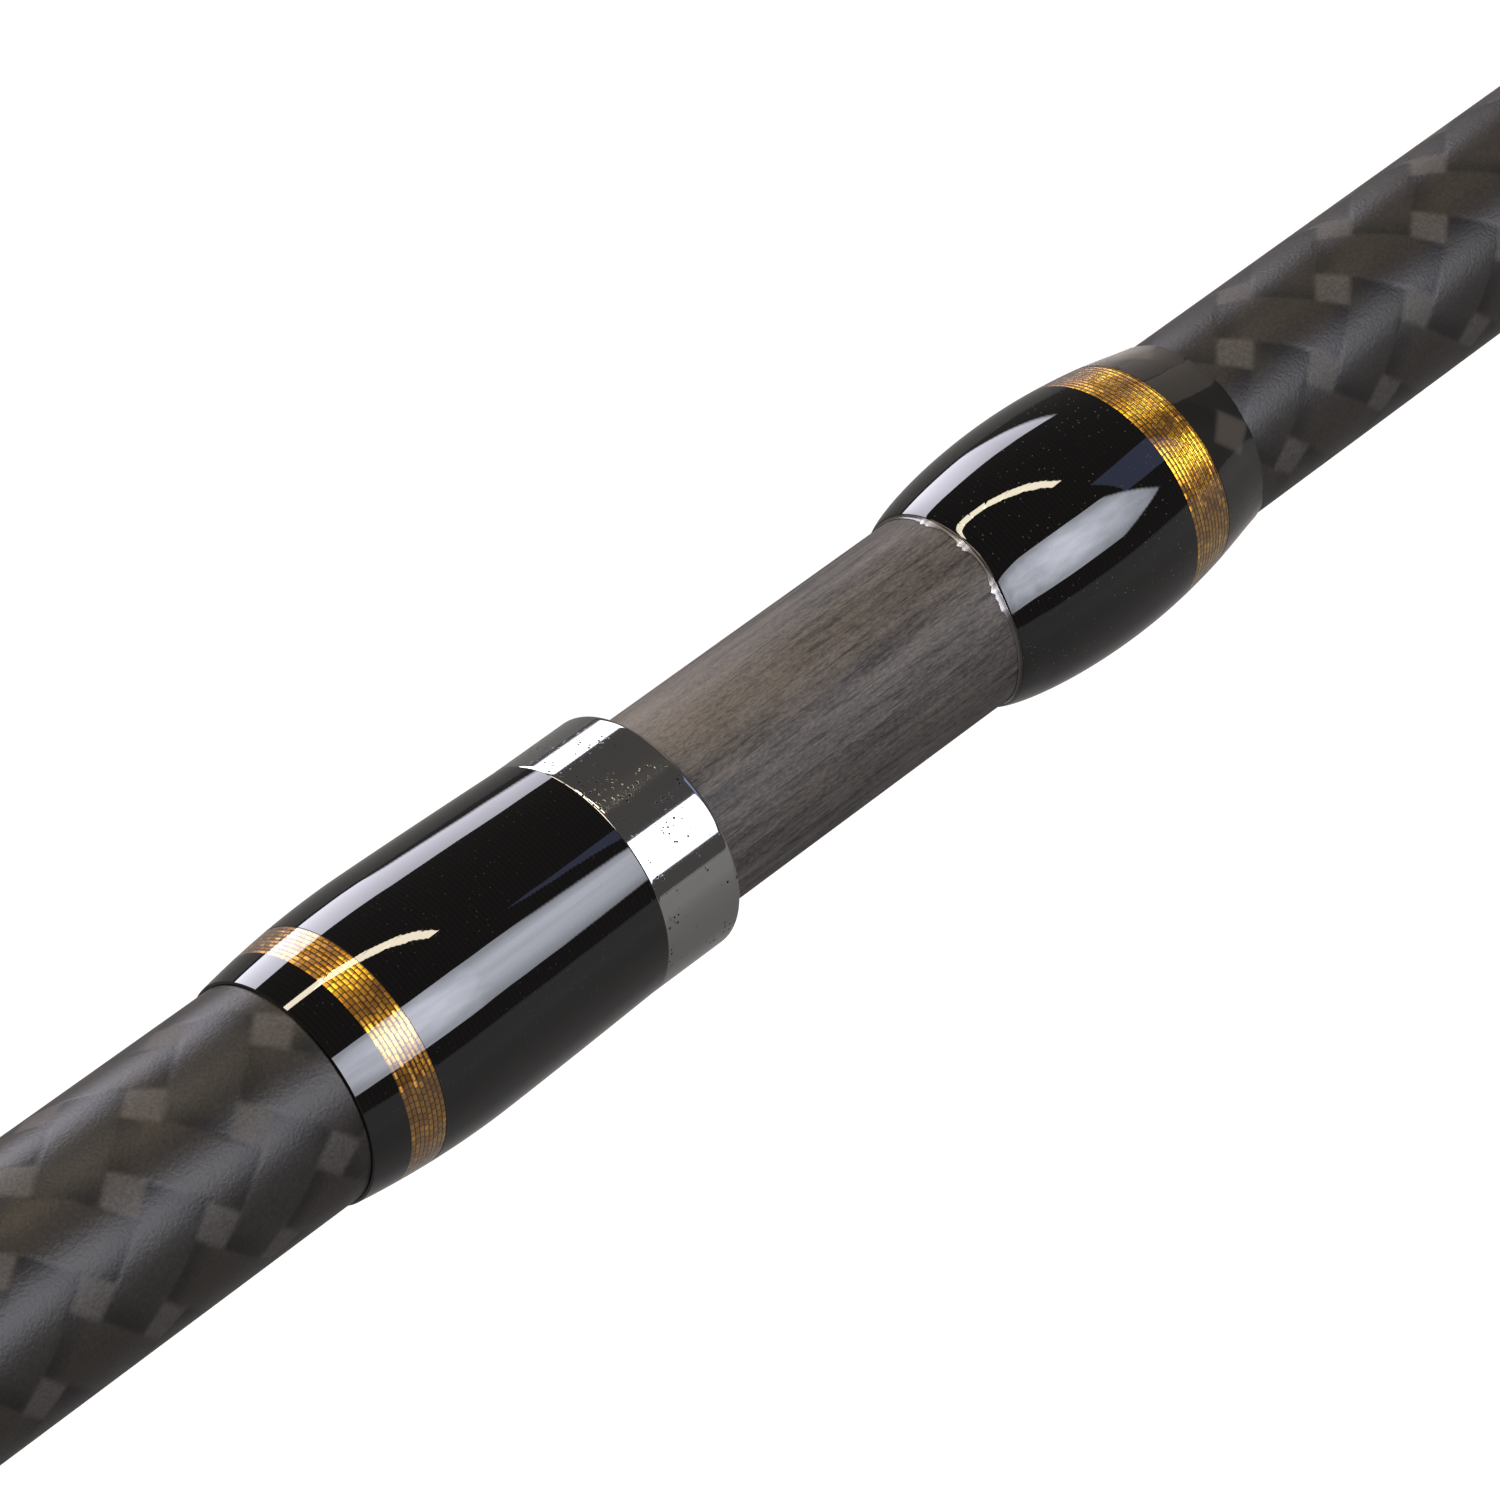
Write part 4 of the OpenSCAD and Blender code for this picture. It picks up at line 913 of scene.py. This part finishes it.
# Polished alumina ceramic: blue-black, very smooth and glassy, paler where the line has run
ceramic, add, place = new_finish("alumina_ceramic")
cloud = add("TexNoise", {"Vector": place, "Scale": 1 / (1.5 * MM), "Detail": 3.0})
plain_skin(add, cloud, ("#15171b", "#2b2e34"), cloud, (0.06, 0.16), cloud, depth=0.004 * MM, strength=0.4, IOR=1.77)


def ring_w(size):
    """Width along the rod of a ceramic ring of some size."""
    return 1.8 * MM + 0.05 * size


def line_ring(name, x, size, axis_z):
    """A ceramic ring with flat sides and a round inner edge."""
    outer, half = size / 2, ring_w(size) / 2
    round_r = 0.6 * ring_w(size)
    middle = outer - (1 * MM + 0.06 * size) + round_r
    side = math.degrees(math.acos(half / round_r))
    return turned(name, [(x - half + ceramic_edge, outer), (x - half, outer - ceramic_edge)]
                  + arc(x, middle, round_r, 180 + side, 360 - side, 16)
                  + [(x + half, outer - ceramic_edge), (x + half - ceramic_edge, outer)], axis_z=axis_z)


def ring_hoop(name, x, size, axis_z):
    """The band that holds a ceramic ring, with its edges rounded by tumbling."""
    half, inner, outer = 0.35 * ring_w(size), size / 2 + glue, size / 2 + hoop_t
    return turned(name, [(x - half, inner)] + arc(x - half + hoop_edge, outer - hoop_edge, hoop_edge, 180, 90, 4)
                  + arc(x + half - hoop_edge, outer - hoop_edge, hoop_edge, 90, 0, 4) + [(x + half, inner)],
                  axis_z=axis_z)


def hoop_spot(x, size, axis_z, lean, side):
    """Where a leg meets the middle of a hoop's band: lean from its top, to one side."""
    r = (size + hoop_t) / 2
    return Vector((x, side * r * math.sin(lean), axis_z + r * math.cos(lean)))


def leg(name, start, end, radius, bow):
    """A bent wire leg from a hoop to a foot, bowed a little on its way."""
    bpy.ops.object.select_all(action="DESELECT")
    bpy.ops.curve.primitive_nurbs_path_add()
    path = bpy.context.object
    for spot, t in zip(path.data.splines[0].points, between(0, 1, 4)):
        spot.co = (*(start.lerp(end, t) + bow * math.sin(math.pi * t)), 1)
    path.data.bevel_depth, path.data.bevel_resolution, path.data.use_fill_caps = radius, 4, True
    path.data.resolution_u = 6
    bpy.ops.object.convert(target="MESH")
    path = bpy.context.object
    path.name = path.data.name = name
    bpy.ops.object.shade_smooth_by_angle(angle=math.radians(50))
    return path


for number, (size, rise) in enumerate(guide_sizes, 1):
    node = f"guide_{number}"
    body = "butt_section" if number == 1 else "tip_section"
    low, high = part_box(node + "_ring")
    x, size, rise = (low.x + high.x) / 2, size * MM, rise * MM
    r = blank_r(x)
    axis_z = -(r + rise)
    guide_ring = line_ring(node + "_ring", x, size, axis_z)
    dress(guide_ring, ceramic, body, [node + "_ring"])

    foot_l, foot_w, root_h = 9 * MM + 0.35 * size, 2 * MM + 0.04 * size, 1.6 * MM + 0.03 * size
    reaches = ((1, 3 * MM + 0.35 * size, front_angle), (-1, 4 * MM + 0.45 * size, rear_angle))
    parts, windings, trims = [ring_hoop(node + "_hoop", x, size, axis_z)], [], []
    for way, reach, lean in reaches:
        root = reach + root_l
        profile = [(reach - root_back, root_h), (root, root_h), (root + slope_l, slope_h), (reach + foot_l, toe_h),
                   (reach + foot_l, -toe_h), (reach - root_back, -toe_h)]
        parts.append(plate(f"{node}_foot", [(x + way * p, -(r + h)) for p, h in profile], foot_w, foot_edge))
        for side in (-1, 1):
            end = Vector((x + way * reach, side * foot_w / 5, -(r + root_h / 2)))
            parts.append(leg(f"{node}_leg", hoop_spot(x, size, axis_z, lean, side), end, 0.45 * MM + 0.011 * size,
                             Vector((0, side * 0.02 * size, -0.015 * size))))
        near, far = x + way * (root + 0.6 * slope_l), x + way * (reach + foot_l + 3 * MM)
        windings.append(bound(f"{node}_winding", *sorted((near, far))))
        trim_at = near + way * trim_in
        band = sorted((trim_at, trim_at + way * guide_turns * gold_pitch))
        top = max(blank_r(near), blank_r(far)) + winding_t + winding_shift
        trims.append(gold_turns(f"{node}_trim", *band, lambda at: top + gold_bulge, top - guide_trim_depth,
                                -winding_shift, steps=96))
    dress(welded(node + "_frame", *parts), stainless, body, [node + "_frame"])
    dress(welded(node + "_windings", *windings), black_thread, body, [node + "_windings"])
    gold = metallic_thread(f"gold_foil_thread_{number}", *band, lambda at: top, bright_gold, -winding_shift)
    dress(welded(node + "_trims", *trims), gold, body, [])

# ---------------------------------------------------------------------------------------------------
# Tip-top: a stainless tube glued over the end of the blank, two legs and a hoop with the last ceramic ring,
# and a short winding that meets the tube.

top_x, top_z, top_size = 1955 * MM, -7.65 * MM, 10 * MM
tube_x, tube_r, tube_edge, tube_front_edge = top_x - 14 * MM, 1.85 * MM, 0.2 * MM, 0.5 * MM
top_leg_x, top_leg_r, top_leg_bow = top_x - 8.4 * MM, 0.56 * MM, 0.2 * MM
dress(line_ring("tip_top_ring", top_x, top_size, top_z), ceramic, "tip_section", ["tip_top_ring"])
tube = turned(
    "tip_tube", [(top_x, 0.0)] + arc(top_x - tube_front_edge, tube_r - tube_front_edge, tube_front_edge, 0, 90)
    + arc(tube_x + tube_edge, tube_r - tube_edge, tube_edge, 90, 180)
    + [(tube_x, tip_r(tube_x) + glue), (tip_end_x + glue, tip_end_r + glue), (tip_end_x + glue, 0.0)], steps=64)
top_legs = [leg("tip_leg", hoop_spot(top_x, top_size, top_z, rear_angle, side),
                Vector((top_leg_x, side * tube_r / 3, -tube_r / 2)), top_leg_r, Vector((0, side * top_leg_bow, 0)))
            for side in (-1, 1)]
top_frame = welded("tip_top_frame", tube, ring_hoop("tip_hoop", top_x, top_size, top_z), *top_legs)
dress(top_frame, stainless, "tip_section", ["tip_top_frame"])
top_winding = bound("tip_top_winding", tube_x - 8 * MM, tube_x, 0.0)
dress(top_winding, black_thread, "tip_section", ["tip_top_winding"])

# ---------------------------------------------------------------------------------------------------
# Studio: a white table, a dark room above it, a wide softbox on the camera's side, a narrow strip light
# behind, dim panels between and beyond them, one bent tube overhead and a warm fill from the butt's end.

table_size, table_gap = 24, 1.5 * MM
bpy.ops.object.select_all(action="DESELECT")
bpy.ops.mesh.primitive_plane_add(size=table_size, location=(0, 0, 0))
floor = bpy.context.object
floor.name = floor.data.name = "floor"
bpy.ops.object.mode_set(mode="EDIT")
bpy.ops.transform.translate(value=(mouth_x, 0, cad_box[0].z - table_gap))
bpy.ops.object.mode_set(mode="OBJECT")
table, add, place = new_finish("white_table")
seen = add("LightPath").node.outputs
glow = add("Math MAXIMUM", [seen["Is Camera Ray"], seen["Is Transmission Ray"]])
# painted pool of light: polished pieces mirror the table, which glows brighter where the softbox stands over it
side = add("SeparateXYZ", [place]).node.outputs["Y"]
painted_pool = add("MapRange", {"Value": side, "From Min": -0.03, "From Max": -0.17, "To Min": 0.125, "To Max": 0.33})
faint = add("Math MULTIPLY", [seen["Is Glossy Ray"], painted_pool])
strength = add("Math MULTIPLY", [add("Math MAXIMUM", [glow, faint]), 0.95])
white = add("Emission", {"Color": "#ffffff", "Strength": strength})
matt = add("BsdfDiffuse", {"Color": "#525150"})
add("OutputMaterial", [add("AddShader", [white, matt])])
floor.data.materials.append(table)

room = bpy.data.worlds.new("dark_studio")
bpy.context.scene.world = room
room.use_nodes = True
room.node_tree.nodes.clear()
add = partial(wire, room)
look = add("SeparateXYZ", [add("TexCoord").node.outputs["Generated"]]).node.outputs["Z"]
seen = add("LightPath").node.outputs
below = add("Math LESS_THAN", [look, 0.0])
low = add("Math MULTIPLY", [seen["Is Glossy Ray"], below])
clear = add("Math MAXIMUM", [seen["Is Camera Ray"], seen["Is Transmission Ray"]])
bright = add("Math MAXIMUM", [low, clear])
dim = add("Background", {"Color": "#fff8f4", "Strength": 0.16})
white = add("Background", {"Color": "#ffffff", "Strength": 1.0})
add("OutputWorld", [add("MixShader", [bright, dim, white])])

# the lights stand this far, in metres, from a point of the spigot just outside the socket
light_reach = 2.6
centre = Vector((mouth_x + 7 * MM, 0, 0))


def away(turn, lean):
    """A place at the lights' reach: turn is from straight up towards the camera's side, lean towards the tip."""
    t, k = math.radians(turn), math.radians(lean)
    return centre + light_reach * Vector((math.sin(k), -math.sin(t) * math.cos(k), math.cos(t) * math.cos(k)))


def lamp(name, start, end, width, colour, radiance):
    """A flat light between two points, width across, that faces the ferrule."""
    bpy.ops.object.light_add(type="AREA")
    light = bpy.context.object
    light.name = light.data.name = name
    along = (end - start).normalized()
    middle = (start + end) / 2
    out = (middle - centre) - along * (middle - centre).dot(along)
    out.normalize()
    light.matrix_world = Matrix.Translation(middle) @ Matrix((along, out.cross(along), out)).transposed().to_4x4()
    light.data.shape = "RECTANGLE"
    light.data.size, light.data.size_y = (end - start).length, width
    light.data.color = tint(colour)[:3]
    light.data.energy = radiance * math.pi * light.data.size * width
    light.visible_camera = False
    return light.data


def strip(name, turn, spread, lean_from, lean_to, colour, radiance):
    """A light along the rod, at one turn round it and spread over some degrees, from one lean to another."""
    ends = [away(turn, 0) + Vector((light_reach * math.tan(math.radians(a)), 0, 0)) for a in (lean_from, lean_to)]
    return lamp(name, *ends, 2 * light_reach * math.tan(math.radians(spread / 2)), colour, radiance)


def shaded(light, turn):
    """Opens a light's nodes. Gives what adds one, and where a point lies along the rod and round it."""
    light.use_nodes = True
    light.node_tree.nodes.clear()
    add = partial(wire, light)
    spot = add("VectorMath SUBTRACT", [add("NewGeometry"), centre])
    run = add("VectorMath DOT_PRODUCT", [spot, (1 / light_reach, 0, 0)]).node.outputs["Value"]
    t = math.radians(turn)
    round_it = (0, -math.cos(t) / light_reach, -math.sin(t) / light_reach)
    return add, run, add("VectorMath DOT_PRODUCT", [spot, round_it]).node.outputs["Value"]


# the softbox is brightest above its middle; its far end runs to a point between two slants
softbox_turn, softbox_half = 54, 0.344
softbox = strip("softbox_front", softbox_turn, 38, -14, 47, "#edf1ff", radiance=11.2)
add, run, off = shaded(softbox, softbox_turn)
across = add("MapRange", {"Value": off, "From Min": -softbox_half, "From Max": softbox_half})
across = add("ValToRGB", {"Fac": across})
across.node.color_ramp.interpolation = "EASE"
stops = across.node.color_ramp.elements
stops[0].color, stops[1].color = (0.58, 0.58, 0.58, 1), (0.5, 0.5, 0.5, 1)
for at, share in ((0.3, 1), (0.62, 0.9)):
    stops.new(at).color = (share, share, share, 1)
level = add("MapRange", {"Value": run, "From Min": 0.85, "From Max": 0.4, "To Min": 0.55, "To Max": 1.28})
near = add("MapRange", {"Value": run, "From Min": -0.05, "From Max": 0.32, "To Min": 0.58, "To Max": 1.0})
# soft creases in its cloth
crease = add("TexNoise", {"Vector": add("NewGeometry"), "Scale": 4.0, "Detail": 2.0})
crease = add("MapRange", {"Value": crease, "From Min": 0.3, "From Max": 0.7, "To Min": 0.9, "To Max": 1.1})
for share in (near, across, crease):
    level = add("Math MULTIPLY", [level, share])
for slant, cut in ((-0.587, 0.83), (0.883, 0.94)):
    edge = add("Math MULTIPLY_ADD", [off, slant, run])
    inside = add("MapRange", {"Value": edge, "From Min": cut + 0.045, "From Max": cut}, interpolation_type="SMOOTHSTEP")
    level = add("Math MULTIPLY", [level, inside])
add("OutputLight", [add("Emission", {"Strength": level})])

# the strip behind is brighter at its near end, and its lower edge slants up to a point at the far one
behind_turn = -72
behind = strip("strip_behind", behind_turn, 28, -16, 40, "#f2f1ff", radiance=6.6)
add, run, off = shaded(behind, behind_turn)
level = add("MapRange", {"Value": run, "From Min": 0.58, "From Max": 0.35, "To Min": 1.0, "To Max": 1.4})
edge = add("Math MULTIPLY_ADD", [off, -0.429, run])
inside = add("MapRange", {"Value": edge, "From Min": 0.68, "From Max": 0.645})
level = add("Math MULTIPLY", [level, inside])
add("OutputLight", [add("Emission", {"Strength": level})])

# the tube overhead, from its far end to its near one, and the dim panels and the fill
tube_bend = [away(*at) for at in (
    (3, 27.4), (-4.5, 25.4), (-11, 23.2), (-17, 19.7), (-21.5, 15.5), (-23, 10), (-23, 3), (-20, -7), (-13, -16))]
for number, (start, end) in enumerate(zip(tube_bend, tube_bend[1:]), 1):
    lamp(f"tube_overhead_{number}", start, end, light_reach * (0.024 + 0.012 * number), "#fff3d8", 20.0)
lamp("blue_panel", away(17, 38.4), away(42, 43.4), 0.68, "#b4c2ff", 1.0)
for number, (turn, level) in enumerate(((-92, 0.25), (-49, 0.45)), 1):
    lamp(f"grey_card_{number}", away(turn, 54), away(turn + 43, 54), 0.85, "#ffeedd", level)
lamp("warm_fill", away(-62, -34), away(12, -34), 1.3, "#ffeeda", 5.2)

# the camera: its turn and height, how far it stands away, and how far beside the rod's axis it aims
turn, rise = math.radians(-46.2), math.radians(44.2)
camera_far, aim_off = 340.9 * MM, 0.16 * MM
back = Vector((math.sin(turn) * math.cos(rise), -math.cos(turn) * math.cos(rise), math.sin(rise)))
right = Vector((math.cos(turn), math.sin(turn), 0))
up = back.cross(right)
aim = centre - aim_off * (0.588 * right - 0.809 * up)
bpy.ops.object.camera_add(location=aim + back * camera_far,
                          rotation=Matrix((right, up, back)).transposed().to_euler())
camera = bpy.context.object
camera.data.lens, camera.data.sensor_width = 180, 36
camera.data.clip_start, camera.data.clip_end = 0.01, 100
bpy.context.scene.camera = camera
bpy.context.scene.view_settings.view_transform = "Standard"
